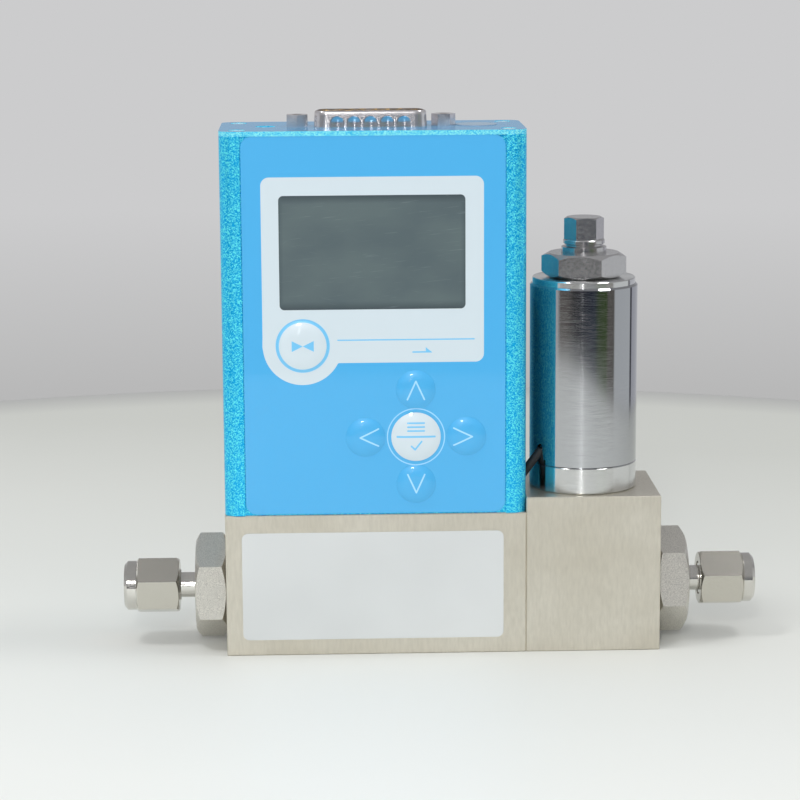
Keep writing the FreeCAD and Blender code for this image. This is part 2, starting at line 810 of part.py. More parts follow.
def make_case():
    """The anodised extrusion: a tube with a front channel, corner screw ports and board rails."""
    body = new_body("case")
    pad(body, Drawing(body, "XY").box("-" + HALF_WIDE, HALF_WIDE, FRONT, BACK), "case_height")
    round_edges(body, "case_corner", Z, lambda p: True)
    room = Drawing(body, "XY").box("-%s + case_wall" % HALF_WIDE, "%s - case_wall" % HALF_WIDE,
                                   INNER_FRONT, INNER_BACK)
    pocket(body, room, "case_height")
    ports = Drawing(body, "XY")
    for x, y in CORNER_PORTS:
        ports.circle(x, y, "screw_port")
    pad(body, ports, "case_height - cover_plug - slide_gap")
    board_rails(body, KEY_BOARD)
    board_rails(body, MAIN_BOARD)
    top_room = Drawing(body, "XY", "case_height").box(
        "-%s + case_wall" % HALF_WIDE, "%s - case_wall" % HALF_WIDE, INNER_FRONT, INNER_BACK)
    pocket(body, top_room, "cover_plug + slide_gap", up=False)
    board_grooves(body, KEY_BOARD)
    board_grooves(body, MAIN_BOARD)
    channel = Drawing(body, "XY").box("-film_width / 2 - film_gap", "film_width / 2 + film_gap",
                                      "%s - 1" % FRONT, PANEL)
    pocket(body, channel, "case_height")
    drills = Drawing(body, "XY", "case_height")
    for x, y in CORNER_PORTS:
        drills.circle(x, y, "cover_screw + 2 * seat_gap")
    pocket(body, drills, "cover_screw_length + 2", up=False)
    make_case_openings(body)
    place(body, CASE_X, "0", "block_height")
    return body


def make_case_openings(body):
    """The display opening, the six key holes, the lead's notch and the two back screw holes."""
    window = Drawing(body, "XZ", "%s - 1" % FRONT)
    window.box("window_side - window_width / 2 - 1", "window_side + window_width / 2 + 1",
               "window_up - window_tall / 2 - 1", "window_up + window_tall / 2 + 1")
    pocket(body, window, "front_wall + 1.5")
    holes = Drawing(body, "XZ", "%s - 1" % FRONT)
    for x, z, across in KEYS.values():
        holes.circle(x, z, "stud_hole")
    pocket(body, holes, "front_wall + 1.5")
    notch = Drawing(body, "YZ", "%s + 1" % HALF_WIDE)
    notch.box("slot_side - slot_width / 2", "slot_side + slot_width / 2", "-1", "slot_height")
    pocket(body, notch, "slot_depth + 1", up=False)
    back = Drawing(body, "XZ", "%s + 1" % BACK)
    for side in (-1, 1):
        back.circle("%d * 12" % side, str(BRACKET_HOLE_UP), "2.2")
    pocket(body, back, "case_wall + 2", up=False)
    sink = Drawing(body, "XZ", BACK)
    for side in (-1, 1):
        sink.circle("%d * 12" % side, str(BRACKET_HOLE_UP), "4")
    pocket(body, sink, "1", up=False)


def make_case_bracket():
    """A bent steel angle on the block; the case's two back screws pull on it."""
    body = new_body("case_bracket")
    back = INNER_BACK + " - seat_gap"
    foot = Drawing(body, "XY").box("-16", "16", "%s - %s" % (back, BRACKET_FOOT), back)
    pad(body, foot, str(BRACKET_THICK))
    wall = Drawing(body, "XY").box("-16", "16", "%s - %s" % (back, BRACKET_THICK), back)
    pad(body, wall, "11")
    foot_holes = Drawing(body, "XY")
    wall_holes = Drawing(body, "XZ", BACK)
    for side in (-1, 1):
        foot_holes.circle("%d * 12" % side, BRACKET_SCREW_Y, "2.2")
        wall_holes.circle("%d * 12" % side, str(BRACKET_HOLE_UP), "2 + 2 * seat_gap")
    pocket(body, foot_holes, "3")
    pocket(body, wall_holes, "case_wall + 2", up=False)
    place(body, CASE_X, "0", "block_height")
    return body


def make_bracket_screws():
    body = new_body("bracket_screws", many=True)
    heads = Drawing(body, "XY", str(BRACKET_THICK))
    shanks = Drawing(body, "XY", str(BRACKET_THICK))
    for side in (-1, 1):
        heads.circle("%d * 12" % side, BRACKET_SCREW_Y, "3.4")
        shanks.circle("%d * 12" % side, BRACKET_SCREW_Y, "2")
    pad(body, heads, "1.3")
    pad(body, shanks, "%s + 3.5" % BRACKET_THICK, up=False)
    place(body, CASE_X, "0", "block_height")
    return body


def make_case_screws():
    """The two screws low in the case's back wall."""
    body = new_body("case_screws", many=True)
    heads = Drawing(body, "XZ", "%s - 1" % BACK)
    shanks = Drawing(body, "XZ", "%s - 1" % BACK)
    sockets = Drawing(body, "XZ", "%s - 0.1" % BACK)
    for side in (-1, 1):
        heads.circle("%d * 12" % side, str(BRACKET_HOLE_UP), "3.7")
        shanks.circle("%d * 12" % side, str(BRACKET_HOLE_UP), "2")
        sockets.circle("%d * 12" % side, str(BRACKET_HOLE_UP), "1.5")
    pad(body, heads, "0.9")
    pad(body, shanks, "case_wall + 1", up=False)
    pocket(body, sockets, "0.6", up=False)
    place(body, CASE_X, "0", "block_height")
    return body


def make_top_cover():
    """The plate that closes the case: a lip on the tube's rim and a plug inside it."""
    body = new_body("top_cover")
    lip = Drawing(body, "XY", "case_height").box("-" + HALF_WIDE, HALF_WIDE, FRONT, BACK)
    pad(body, lip, "cover_lip")
    round_edges(body, "case_corner", Z, lambda p: True)
    plug = Drawing(body, "XY", "case_height")
    plug.box("-%s + case_wall + slide_gap" % HALF_WIDE, "%s - case_wall - slide_gap" % HALF_WIDE,
             "%s + slide_gap" % INNER_FRONT, "%s - slide_gap" % INNER_BACK)
    pad(body, plug, "cover_plug", up=False)
    top = "case_height + cover_lip"
    clearances = Drawing(body, "XY", top)
    heads = Drawing(body, "XY", top)
    for x, y in CORNER_PORTS:
        clearances.circle(x, y, "cover_screw + 2 * slide_gap")
        heads.circle(x, y, "cover_head + 2 * slide_gap")
    pocket(body, clearances, "cover_lip + cover_plug + 1", up=False)
    pocket(body, heads, "1", up=False)
    drills = Drawing(body, "XY", top)
    for side in (-1, 1):
        drills.circle("plug_shift + %d * lock_pitch / 2" % side, "0", "3.2")
    drills.circle(ZERO_X, "0", "zero_hole")
    pocket(body, drills, "cover_lip + cover_plug + 1", up=False)
    sink = Drawing(body, "XY", top).circle(ZERO_X, "0", "zero_hole + 1.2")
    pocket(body, sink, "0.5", up=False)
    shell_outline(body, top, "slide_gap", "cover_lip + cover_plug + 1")
    place(body, CASE_X, "0", "block_height")
    return body


def make_cover_screws():
    body = new_body("cover_screws", many=True)
    heads = Drawing(body, "XY", "case_height + cover_lip - 1")
    shanks = Drawing(body, "XY", "case_height + cover_lip - 1")
    sockets = Drawing(body, "XY", "case_height + cover_lip - 0.15")
    for x, y in CORNER_PORTS:
        heads.circle(x, y, "cover_head")
        shanks.circle(x, y, "cover_screw")
        sockets.circle(x, y, "cover_screw * 0.8")
    pad(body, heads, "0.85")
    pad(body, shanks, "cover_screw_length", up=False)
    pocket(body, sockets, "0.6", up=False)
    place(body, CASE_X, "0", "block_height")
    return body


# Front film, keys and display


def make_front_film():
    """The printed film in the case's front channel, with a hole at each key's dome."""
    body = new_body("front_film")
    film = Drawing(body, "XZ", PANEL)
    film.box("-film_width / 2", "film_width / 2", "film_bottom", "case_height")
    pad(body, film, "film_thick", up=False)
    round_edges(body, "film_corner", Y, lambda p: True)
    holes = Drawing(body, "XZ", "%s - film_thick - 1" % PANEL)
    for x, z, across in KEYS.values():
        holes.circle(x, z, across)
    pocket(body, holes, "film_thick + 2")
    place(body, CASE_X, "0", "block_height")
    return body


def make_key(name):
    """One key: its dome just proud of the film and the stud behind it, in its own frame."""
    x, z, across = KEYS[name]
    body = new_body(name)
    rim = "((%s) / 2 - key_gap)" % across
    end = "(film_thick + front_wall - channel_depth + switch_gap + stud_entry)"
    section = Drawing(body, "XY").outline([
        ("0", "-dome_height"),
        (rim + " * 0.45", "-dome_height"),
        (rim + " * 0.8", "-dome_height * 0.8"),
        (rim + " * 0.95", "-dome_height * 0.5"),
        (rim, "-dome_height * 0.15"),
        (rim, "0"),
        ("stud_size / 2", "0"),
        ("stud_size / 2", end),
        ("0", end),
    ])
    turn(body, section, "V_Axis")
    place(body, "%s + %s" % (CASE_X, x), "%s - film_thick" % PANEL, "block_height + %s" % z)
    return body


def make_key_switches():
    """Six small push switches on the keypad board, each with a well for its key's stud."""
    body = new_body("key_switches", many=True)
    back = KEY_BOARD
    front = "(%s + switch_gap)" % INNER_FRONT
    boxes = Drawing(body, "XZ", back)
    wells = Drawing(body, "XZ", front)
    for x, z, across in KEYS.values():
        boxes.box("%s - switch_side / 2" % x, "%s + switch_side / 2" % x,
                  "%s - switch_side / 2" % z, "%s + switch_side / 2" % z)
        wells.circle(x, z, "stud_hole")
    pad(body, boxes, "%s - %s" % (back, front), up=False)
    pocket(body, wells, "stud_entry + key_travel + 0.05")
    place(body, CASE_X, "0", "block_height")
    return body


def make_key_board():
    body = new_body("key_board")
    board = Drawing(body, "XZ", KEY_BOARD)
    board.box("-" + BOARD_HALF, BOARD_HALF, "board_up", "case_height - board_top_gap")
    pad(body, board, "board_thick")
    place(body, CASE_X, "0", "block_height")
    return body


def display_layer(name, half, margin, front, thick):
    """One flat layer of the display, centred behind the window."""
    body = new_body(name)
    layer = Drawing(body, "XZ", front)
    layer.box("window_side - %s" % half, "window_side + %s" % half,
              "window_up - window_tall / 2 - %s" % margin, "window_up + window_tall / 2 + %s" % margin)
    pad(body, layer, thick)
    place(body, CASE_X, "0", "block_height")
    return body


def make_display():
    glass_front = "(%s + slide_gap)" % INNER_FRONT
    glass_back = "(%s + slide_gap + 1.8)" % INNER_FRONT
    glass_half = "(window_width / 2 + 2.5)"
    frame_half = "(%s - 4.55)" % BOARD_HALF
    display_layer("display_glass", glass_half, "2.5", glass_front, "1.8")
    display_layer("display_frame", frame_half, "3.5", glass_back, "%s - %s" % (KEY_BOARD, glass_back))


def make_main_board():
    body = new_body("main_board")
    board = Drawing(body, "XZ", MAIN_BOARD)
    board.box("-" + BOARD_HALF, BOARD_HALF, "board_up", "case_height - board_top_gap")
    pad(body, board, "board_thick")
    place(body, CASE_X, "0", "block_height")
    return body


# Connector on the cover: a 15-way plug, flange under the cover, shell through it

PLUG_AXIS = "(plug_shift)"


def shell_points(grow):
    """The plug's D outline about the origin, its long side to the front."""
    spread = "shell_corner * (tan(shell_slope) + 1 / cos(shell_slope) - 1)"
    long_half = "(shell_wide / 2 + %s + (%s))" % (spread, grow)
    short_half = "(shell_wide / 2 + %s + (%s) - shell_deep * tan(shell_slope))" % (spread, grow)
    half_deep = "(shell_deep / 2 + (%s))" % grow
    return [("%s - %s" % (PLUG_AXIS, long_half), "-" + half_deep),
            ("%s + %s" % (PLUG_AXIS, long_half), "-" + half_deep),
            ("%s + %s" % (PLUG_AXIS, short_half), half_deep),
            ("%s - %s" % (PLUG_AXIS, short_half), half_deep)]


def shell_outline(body, top, grow, depth):
    """Cuts the plug's D outline down from a height, with rounded corners."""
    pocket(body, Drawing(body, "XY", top).outline(shell_points(grow)), depth, up=False)
    reach = size("shell_wide / 2") + 1
    deep = size("shell_deep / 2") + 1
    round_edges(body, "shell_corner + (%s)" % grow, Z,
                lambda p: abs(p.x - size(PLUG_AXIS)) < reach and abs(p.y) < deep
                and abs(p.x - size(PLUG_AXIS)) > reach - 4)


def make_dsub_shell():
    """The plated steel shell with its flange, and the contact dimples on both long sides."""
    body = new_body("dsub_shell")
    flange_top = "(case_height - cover_plug)"
    flange = Drawing(body, "XY", flange_top)
    flange.box("plug_shift - flange_wide / 2", "plug_shift + flange_wide / 2",
               "-flange_deep / 2", "flange_deep / 2")
    pad(body, flange, "flange_thick", up=False)
    round_edges(body, "shell_corner / 2", Z, lambda p: True)
    wall = Drawing(body, "XY", flange_top).outline(shell_points("0"))
    pad(body, wall, "shell_rise")
    inside = Drawing(body, "XY", "%s + shell_rise" % flange_top).outline(shell_points("-shell_wall"))
    pocket(body, inside, "shell_rise + flange_thick", up=False)
    outer = size("shell_deep / 2")
    inner = size("shell_deep / 2 - shell_wall")
    round_edges(body, "shell_corner", Z,
                lambda p: p.z > size(flange_top) + 1 and abs(abs(p.y) - outer) < 0.01)
    round_edges(body, "shell_corner - shell_wall", Z, lambda p: abs(abs(p.y) - inner) < 0.01)
    holes = Drawing(body, "XY", flange_top)
    for side in (-1, 1):
        holes.circle("plug_shift + %d * lock_pitch / 2" % side, "0", "3.2")
    pocket(body, holes, "flange_thick", up=False)
    for face, count, into in (("-shell_deep / 2", 5, True), ("shell_deep / 2", 4, False)):
        dimples(body, face, count, into)
    place(body, CASE_X, "0", "block_height")
    return body


def dimples(body, face, count, into):
    """A row of arched dents pressed into one long side of the shell."""
    crown = "(case_height + cover_lip + 0.95)"
    for i in range(count):
        x = "(plug_shift + %s * dimple_pitch)" % (i - (count - 1) / 2)
        stem = Drawing(body, "XZ", face)
        stem.box("%s - dimple_wide / 2" % x, "%s + dimple_wide / 2" % x,
                 "case_height + cover_lip - 0.6", crown)
        pocket(body, stem, "dimple_deep", up=into)
        arch = Drawing(body, "XZ", face).circle(x, crown, "dimple_wide")
        pocket(body, arch, "dimple_deep", up=into)


PIN_PLACES = ([("(plug_shift + %s * pin_pitch)" % (i - 3.5), "(-pin_row / 2)") for i in range(8)]
              + [("(plug_shift + %s * pin_pitch)" % (i - 3), "(pin_row / 2)") for i in range(7)])
INSULATOR_TOP = "(case_height - cover_plug + 0.6)"
INSULATOR_DEEP = "5.2"


def make_dsub_insulator():
    body = new_body("dsub_insulator")
    block = Drawing(body, "XY", INSULATOR_TOP).outline(shell_points("-shell_wall - seat_gap"))
    pad(body, block, INSULATOR_DEEP, up=False)
    round_edges(body, "shell_corner - shell_wall - seat_gap", Z, lambda p: True)
    holes = Drawing(body, "XY", INSULATOR_TOP)
    for x, y in PIN_PLACES:
        holes.circle(x, y, "pin_size + 2 * seat_gap")
    pocket(body, holes, INSULATOR_DEEP, up=False)
    place(body, CASE_X, "0", "block_height")
    return body


def make_dsub_pins():
    body = new_body("dsub_pins", many=True)
    pins = Drawing(body, "XY", "%s - %s - 2.5" % (INSULATOR_TOP, INSULATOR_DEEP))
    for x, y in PIN_PLACES:
        pins.circle(x, y, "pin_size")
    pad(body, pins, "4.9 + 2.5 + " + INSULATOR_DEEP)
    middle = size(INSULATOR_TOP)
    chamfer_rims(body, "pin_size / 4", lambda p: p.z > middle)
    place(body, CASE_X, "0", "block_height")
    return body


def make_jackscrews():
    """The two hexagonal lock posts beside the plug, threaded for its mate's screws."""
    body = new_body("jackscrews", many=True)
    top = "(case_height + cover_lip)"
    reach = "lock_flats / 2 / cos(30)"
    stud_length = "cover_lip + cover_plug + flange_thick + 1.5"
    posts = Drawing(body, "XY", top)
    studs = Drawing(body, "XY", top)
    bores = Drawing(body, "XY", "%s + lock_height" % top)
    for side, start in ((-1, 30), (1, 0)):
        x = "(plug_shift + %d * lock_pitch / 2)" % side
        corners = [start + 60 * i for i in range(6)]
        posts.outline([("%s + %s * cos(%d)" % (x, reach, a), "%s * sin(%d)" % (reach, a)) for a in corners])
        studs.circle(x, "0", "3")
        bores.circle(x, "0", "lock_drill")
    pad(body, posts, "lock_height")
    pad(body, studs, stud_length, up=False)
    pocket(body, bores, "lock_height + 1.5", up=False)
    place(body, CASE_X, "0", "block_height")
    return body


def make_jack_nuts():
    """Round nuts under the flange that hold the lock posts."""
    body = new_body("jack_nuts", many=True)
    top = "(case_height - cover_plug - flange_thick)"
    nuts = Drawing(body, "XY", top)
    for side in (-1, 1):
        x = "(plug_shift + %d * lock_pitch / 2)" % side
        nuts.circle(x, "0", "4.6")
        nuts.circle(x, "0", "3 + 2 * seat_gap")
    pad(body, nuts, "1.5", up=False)
    place(body, CASE_X, "0", "block_height")
    return body


def make_zero_trimmer():
    """The zero adjuster under its access hole, a slotted screw in a small block on the board."""
    body = new_body("zero_trimmer")
    low = "case_height - cover_plug - 8"
    pot = Drawing(body, "XY", low).box(ZERO_X + " - 2.7", ZERO_X + " + 2.7", "-2.5",
                                       "%s - seat_gap" % MAIN_BOARD)
    pad(body, pot, "7")
    pad(body, Drawing(body, "XY", low + " + 7").circle(ZERO_X, "0", "2.4"), "2.4")
    slot = Drawing(body, "XY", low + " + 9.4").box(ZERO_X + " - 1.5", ZERO_X + " + 1.5", "-0.3", "0.3")
    pocket(body, slot, "0.7", up=False)
    place(body, CASE_X, "0", "block_height")
    return body


def make_check_dot():
    """The plain round paper seal stuck on the cover."""
    body = new_body("check_dot")
    top = "(case_height + cover_lip)"
    pad(body, Drawing(body, "XY", top).circle("dot_side", "dot_back", "dot_size"), "0.12")
    place(body, CASE_X, "0", "block_height")
    return body


def make_label():
    body = new_body("rating_label")
    film = Drawing(body, "XZ", FRONT)
    film.box("%s + label_side - label_width / 2" % CASE_X, "%s + label_side + label_width / 2" % CASE_X,
             "label_up", "label_up + label_tall")
    pad(body, film, "label_thick", up=False)
    round_edges(body, "label_corner", Y, lambda p: True)
    return body


# Control valve, each piece in a frame on the valve's axis at the underside's level


def valve_turned(name, points):
    """A piece turned about the valve's axis from its half section."""
    body = new_body(name)
    turn(body, Drawing(body, "XZ").outline(points), "V_Axis")
    place(body, VALVE_X)
    return body


def make_valve_seat():
    top = CHAMBER + " + 0.5"
    low = CHAMBER + " - seat_height"
    radius = "(seat_size / 2 - seat_gap)"
    return valve_turned("valve_seat", [
        ("orifice / 2", low), (radius, low), (radius, CHAMBER), ("orifice / 2 + 0.7", CHAMBER),
        ("orifice / 2 + 0.3", top), ("orifice / 2", top)])


FLANGE_BASE = "(valve_height - stem_bore_depth + 0.8)"


def make_valve_stem():
    """The core tube: threaded into the block, closed above the spring, with a hexagon on top."""
    body = new_body("valve_stem")
    collar = "(stem_size / 2 - 0.4)"
    undercut = "(stem_size / 2 - 0.8)"
    points = [
        ("plunger_size / 2", FLANGE_BASE),
        ("stem_bore / 2 - seat_gap", FLANGE_BASE),
        ("stem_bore / 2 - seat_gap", "valve_height"),
        ("stem_size / 2", "valve_height"),
        ("stem_size / 2", STEM_TOP + " - 1.7"),
        (undercut, STEM_TOP + " - 1.4"),
        (undercut, STEM_TOP + " - 1.15"),
        (collar, STEM_TOP + " - 0.9"),
        (collar, STEM_TOP + " - 0.2"),
        (collar + " - 0.2", STEM_TOP),
        ("0", STEM_TOP),
        ("0", PLUNGER_TOP + " + spring_room"),
        ("plunger_size / 2", PLUNGER_TOP + " + spring_room"),
    ]
    turn(body, Drawing(body, "XZ").outline(points), "V_Axis")
    pad(body, Drawing(body, "XY", STEM_TOP).hexagon("stem_flats", "stem_turn"), "stem_hex_height")
    hex_corners(body, "XZ", "V_Axis", "stem_flats", STEM_TOP + " + stem_hex_height", -1)
    place(body, VALVE_X)
    return body


def make_stem_seal():
    body = ring("stem_seal", "stem_bore - 1.2", "0.76")
    place(body, VALVE_X, "0", "valve_height - stem_bore_depth + 0.4")
    return body


def make_plunger():
    """The sprung iron plunger with its flat sealing face over the seat."""
    radius = "(plunger_size / 2 - plunger_gap)"
    return valve_turned("plunger", [
        ("0", PLUNGER_BASE), (radius + " - 0.6", PLUNGER_BASE), (radius, PLUNGER_BASE + " + 0.6"),
        (radius, PLUNGER_TOP), ("0", PLUNGER_TOP)])


def make_plunger_spring():
    """The return spring between the plunger and the stem's closed end."""
    body = new_body("plunger_spring")
    wire = Drawing(body, "XZ", "0")
    wire.circle("(spring_size - spring_wire) / 2", "spring_wire / 2", "spring_wire")
    coil = body.newObject("PartDesign::AdditiveHelix", "plunger_spring_coil")
    coil.Profile = wire.sketch
    coil.ReferenceAxis = (wire.sketch, ["V_Axis"])
    coil.Mode = 0
    coil.setExpression("Height", formula("spring_room - spring_wire - 0.1"))
    coil.setExpression("Pitch", formula("(spring_room - spring_wire - 0.1) / spring_turns"))
    place(body, VALVE_X, "0", PLUNGER_TOP + " + 0.05")
    return body


def make_coil_collar():
    """The magnetic base ring under the coil housing, with the step that centres the housing."""
    inner = "(stem_size / 2 + slide_gap)"
    outer = "(coil_size / 2)"
    step = "(coil_size / 2 - coil_wall - slide_gap)"
    return valve_turned("coil_collar", [
        (inner, "valve_height"), (outer + " - 0.3", "valve_height"), (outer, "valve_height + 0.3"),
        (outer, COIL_BASE + " - 0.25"), (outer + " - 0.25", COIL_BASE), (step, COIL_BASE),
        (step, COIL_BASE + " + 0.8"), (inner, COIL_BASE + " + 0.8")])


def make_coil_winding():
    inner = "(stem_size / 2 + 0.3)"
    outer = "(coil_size / 2 - coil_wall - 0.3)"
    return valve_turned("coil_winding", [
        (inner, COIL_BASE + " + 0.8"), (outer, COIL_BASE + " + 0.8"),
        (outer, COIL_TOP + " - 1.6"), (inner, COIL_TOP + " - 1.6")])


def make_coil_housing():
    """The chromed can over the coil, with the hole where the lead goes in."""
    body = new_body("coil_can")
    nodes.remove(body)
    outer = "(coil_size / 2)"
    inner = "(coil_size / 2 - coil_wall)"
    hole = "(stem_size / 2 + slide_gap)"
    turn(body, Drawing(body, "XZ").outline([
        (inner, COIL_BASE), (outer + " - 0.15", COIL_BASE), (outer, COIL_BASE + " + 0.15"),
        (outer, COIL_TOP + " - 0.4"),
        (outer + " - 0.4", COIL_TOP), (hole, COIL_TOP), (hole, COIL_TOP + " - 1.5"),
        (inner, COIL_TOP + " - 1.5")]), "V_Axis")
    place(body, VALVE_X)
    end, before = lead_route()[-1], lead_route()[-2]
    along = (end - before).normalize()
    drill = doc.addObject("Part::Cylinder", "lead_drill")
    drill.setExpression("Radius", formula("lead_size / 2 + slide_gap"))
    drill.Height = 8
    drill.Placement = FreeCAD.Placement(end - along * 5, FreeCAD.Rotation(Z, along))
    can = doc.addObject("Part::Cut", "coil_housing")
    can.Label = "coil_housing"
    can.Base = body
    can.Tool = drill
    nodes.append(can)
    return can


def make_housing_washer():
    inner = "(stem_size / 2 + slide_gap)"
    outer = "(washer_size / 2)"
    return valve_turned("housing_washer", [
        (inner, COIL_TOP), (outer, COIL_TOP), (outer, NUT_BASE + " - 0.2"),
        (outer + " - 0.2", NUT_BASE), (inner, NUT_BASE)])


def make_lock_nut():
    body = new_body("lock_nut")
    pad(body, Drawing(body, "XY", NUT_BASE).hexagon("lock_nut_flats", "lock_nut_turn"), "lock_nut_height")
    hex_corners(body, "XZ", "V_Axis", "lock_nut_flats", NUT_BASE, 1, 0.94)
    hex_corners(body, "XZ", "V_Axis", "lock_nut_flats", NUT_BASE + " + lock_nut_height", -1, 0.95)
    bore = Drawing(body, "XY", NUT_BASE).circle("0", "0", "stem_size + 2 * seat_gap")
    pocket(body, bore, "lock_nut_height")
    place(body, VALVE_X)
    return body


# The coil's lead, from the main board through the case's notch into the coil housing


def lead_route():
    """The lead's corner points, chosen by hand along its real run."""
    side = size(JOINT)
    deep = size("slot_side")
    base = size("block_height")
    board = size(MAIN_BOARD + " - seat_gap")
    return [FreeCAD.Vector(side - 11.2, board, base + 5.2),
            FreeCAD.Vector(side - 11.2, deep + 5.4, base + 5.2),
            FreeCAD.Vector(side - 3.4, deep - 0.1, base + 3.4),
            FreeCAD.Vector(side + 4.0, deep + 0.1, base + 13.2)]


def rounded_path(points):
    """Straight runs joined by tangent arcs as large as the runs allow."""
    edges = []
    start = points[0]
    for before, corner, after in zip(points, points[1:], points[2:]):
        arrive = (corner - before).normalize()
        leave = (after - corner).normalize()
        angle = arrive.getAngle(leave)
        tangent = 0.45 * min((corner - before).Length, (after - corner).Length)
        radius = tangent / math.tan(angle / 2)
        print("lead bend radius %.2f mm" % radius)
        first = corner - arrive * tangent
        last = corner + leave * tangent
        inward = (leave - arrive).normalize()
        middle = corner + inward * (radius / math.cos(angle / 2) - radius)
        edges.append(Part.LineSegment(start, first).toShape())
        edges.append(Part.Arc(first, middle, last).toShape())
        start = last
    edges.append(Part.LineSegment(start, points[-1]).toShape())
    return Part.Wire(edges)


def make_valve_lead():
    route = lead_route()
    path = rounded_path(route)
    rim = Part.Circle(route[0], route[1] - route[0], size("lead_size") / 2).toShape()
    lead = doc.addObject("Part::Feature", "valve_lead")
    lead.Label = "valve_lead"
    lead.Shape = path.makePipeShell([Part.Wire([rim])], True, False)
    print("lead volume %.2f, section times length %.2f"
          % (lead.Shape.Volume, math.pi * size("lead_size") ** 2 / 4 * path.Length))
    nodes.append(lead)
    return lead


def build():
    fill_sheet()
    make_sensor_block()
    make_valve_block()
    make_tie_screws()
    make_joint_seal()
    make_flow_element()
    for side in ("inlet", "outlet"):
        make_fitting_body(side)
        make_fitting_seal(side)
        make_front_ferrule(side)
        make_back_ferrule(side)
        make_fitting_nut(side)
    make_sensor_foot()
    make_sensor_seals()
    make_capillary()
    make_sensor_windings()
    make_sensor_cover()
    make_sensor_screws()
    make_case()
    make_case_bracket()
    make_bracket_screws()
    make_case_screws()
    make_top_cover()
    make_cover_screws()
    make_front_film()
    for name in KEYS:
        make_key(name)
    make_key_switches()
    make_key_board()
    make_display()
    make_main_board()
    make_dsub_shell()
    make_dsub_insulator()
    make_dsub_pins()
    make_jackscrews()
    make_jack_nuts()
    make_zero_trimmer()
    make_check_dot()
    make_label()
    make_valve_seat()
    make_valve_stem()
    make_stem_seal()
    make_plunger()
    make_plunger_spring()
    make_coil_collar()
    make_coil_winding()
    make_coil_housing()
    make_housing_washer()
    make_lock_nut()
    make_valve_lead()
    doc.recompute()


def check():
    """Every object up to date, and every sub-part a valid solid."""
    for item in doc.Objects:
        if "Invalid" in item.State or "Error" in item.State:
            raise RuntimeError("%s failed: %s" % (item.Name, item.State))
    for node in nodes:
        shape = node.Shape
        if shape.isNull() or not shape.isValid() or not shape.Solids:
            raise RuntimeError("%s has no valid solid" % node.Label)


def export():
    os.makedirs("parts", exist_ok=True)
    for node in nodes:
        node.Shape.exportStep("parts/%s.step" % node.Label)
    print("%d sub-parts written" % len(nodes))


build()
check()
export()
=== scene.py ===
import math

import bmesh
import bpy
from mathutils import Matrix, Vector


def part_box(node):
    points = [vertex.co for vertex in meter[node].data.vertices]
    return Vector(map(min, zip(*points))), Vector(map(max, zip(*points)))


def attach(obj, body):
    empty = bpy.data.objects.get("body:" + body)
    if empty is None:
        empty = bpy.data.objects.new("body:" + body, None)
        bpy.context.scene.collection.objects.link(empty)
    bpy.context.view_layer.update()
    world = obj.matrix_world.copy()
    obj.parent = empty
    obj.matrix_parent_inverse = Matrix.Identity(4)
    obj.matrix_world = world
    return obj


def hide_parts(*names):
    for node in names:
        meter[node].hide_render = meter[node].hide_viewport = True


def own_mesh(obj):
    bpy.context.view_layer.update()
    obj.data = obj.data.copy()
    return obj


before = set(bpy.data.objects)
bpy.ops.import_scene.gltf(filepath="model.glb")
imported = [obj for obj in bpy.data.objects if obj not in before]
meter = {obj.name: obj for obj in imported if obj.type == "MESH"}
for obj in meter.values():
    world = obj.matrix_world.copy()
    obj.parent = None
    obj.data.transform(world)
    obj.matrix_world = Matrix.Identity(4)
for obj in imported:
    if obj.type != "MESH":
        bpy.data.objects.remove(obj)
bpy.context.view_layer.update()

# ---------------------------------------------------------------------------------------------
# The two flow blocks. Each is a bar of stainless steel, drilled through and ground on all its
# faces, so fine upright scratches run over the front and the broken edges catch the light.

MM = 0.001


def ink(red, green, blue):
    """A colour as it is read off a screen, 0 to 255, turned into the linear colour a shader takes."""
    def channel(level):
        level /= 255
        return level / 12.92 if level <= 0.04045 else ((level + 0.055) / 1.055) ** 2.4
    return (channel(red), channel(green), channel(blue), 1)


class Nodes:
    """A node tree and the ways to add to it. An input is fed with a socket or with a plain setting."""

    COLOUR_INPUTS, COLOUR_OUTPUT = (0, 6, 7), 2

    def __init__(self, tree):
        self.tree = tree

    def feed(self, node, name, feed):
        if isinstance(feed, bpy.types.NodeSocket):
            self.tree.links.new(feed, node.inputs[name])
        else:
            node.inputs[name].default_value = feed

    def node(self, kind, *feeds, operation=None, **named_feeds):
        """A new node, fed in the order of its inputs or by their names."""
        made = self.tree.nodes.new(kind)
        if operation:
            made.operation = operation
        for index, feed in enumerate(feeds):
            self.feed(made, index, feed)
        for name, feed in named_feeds.items():
            self.feed(made, name.replace("_", " "), feed)
        return made

    def math(self, operation, *terms, clamp=False):
        made = self.node("ShaderNodeMath", *terms, operation=operation)
        made.use_clamp = clamp
        return made.outputs[0]

    def spread(self, socket, low, high, frm=0.3, to=0.7):
        """The socket's range frm..to stretched to low..high."""
        return self.node("ShaderNodeMapRange", socket, frm, to, low, high).outputs[0]

    def between(self, amount, first, second):
        """A number between two, by an amount from 0 to 1."""
        return self.node("ShaderNodeMix", amount, A=first, B=second).outputs[0]

    def mix(self, amount, first, second):
        """Two colours mixed, by an amount from 0 to 1."""
        made = self.node("ShaderNodeMix")
        made.data_type = "RGBA"
        for index, feed in zip(self.COLOUR_INPUTS, (amount, first, second)):
            self.feed(made, index, feed)
        return made.outputs[self.COLOUR_OUTPUT]


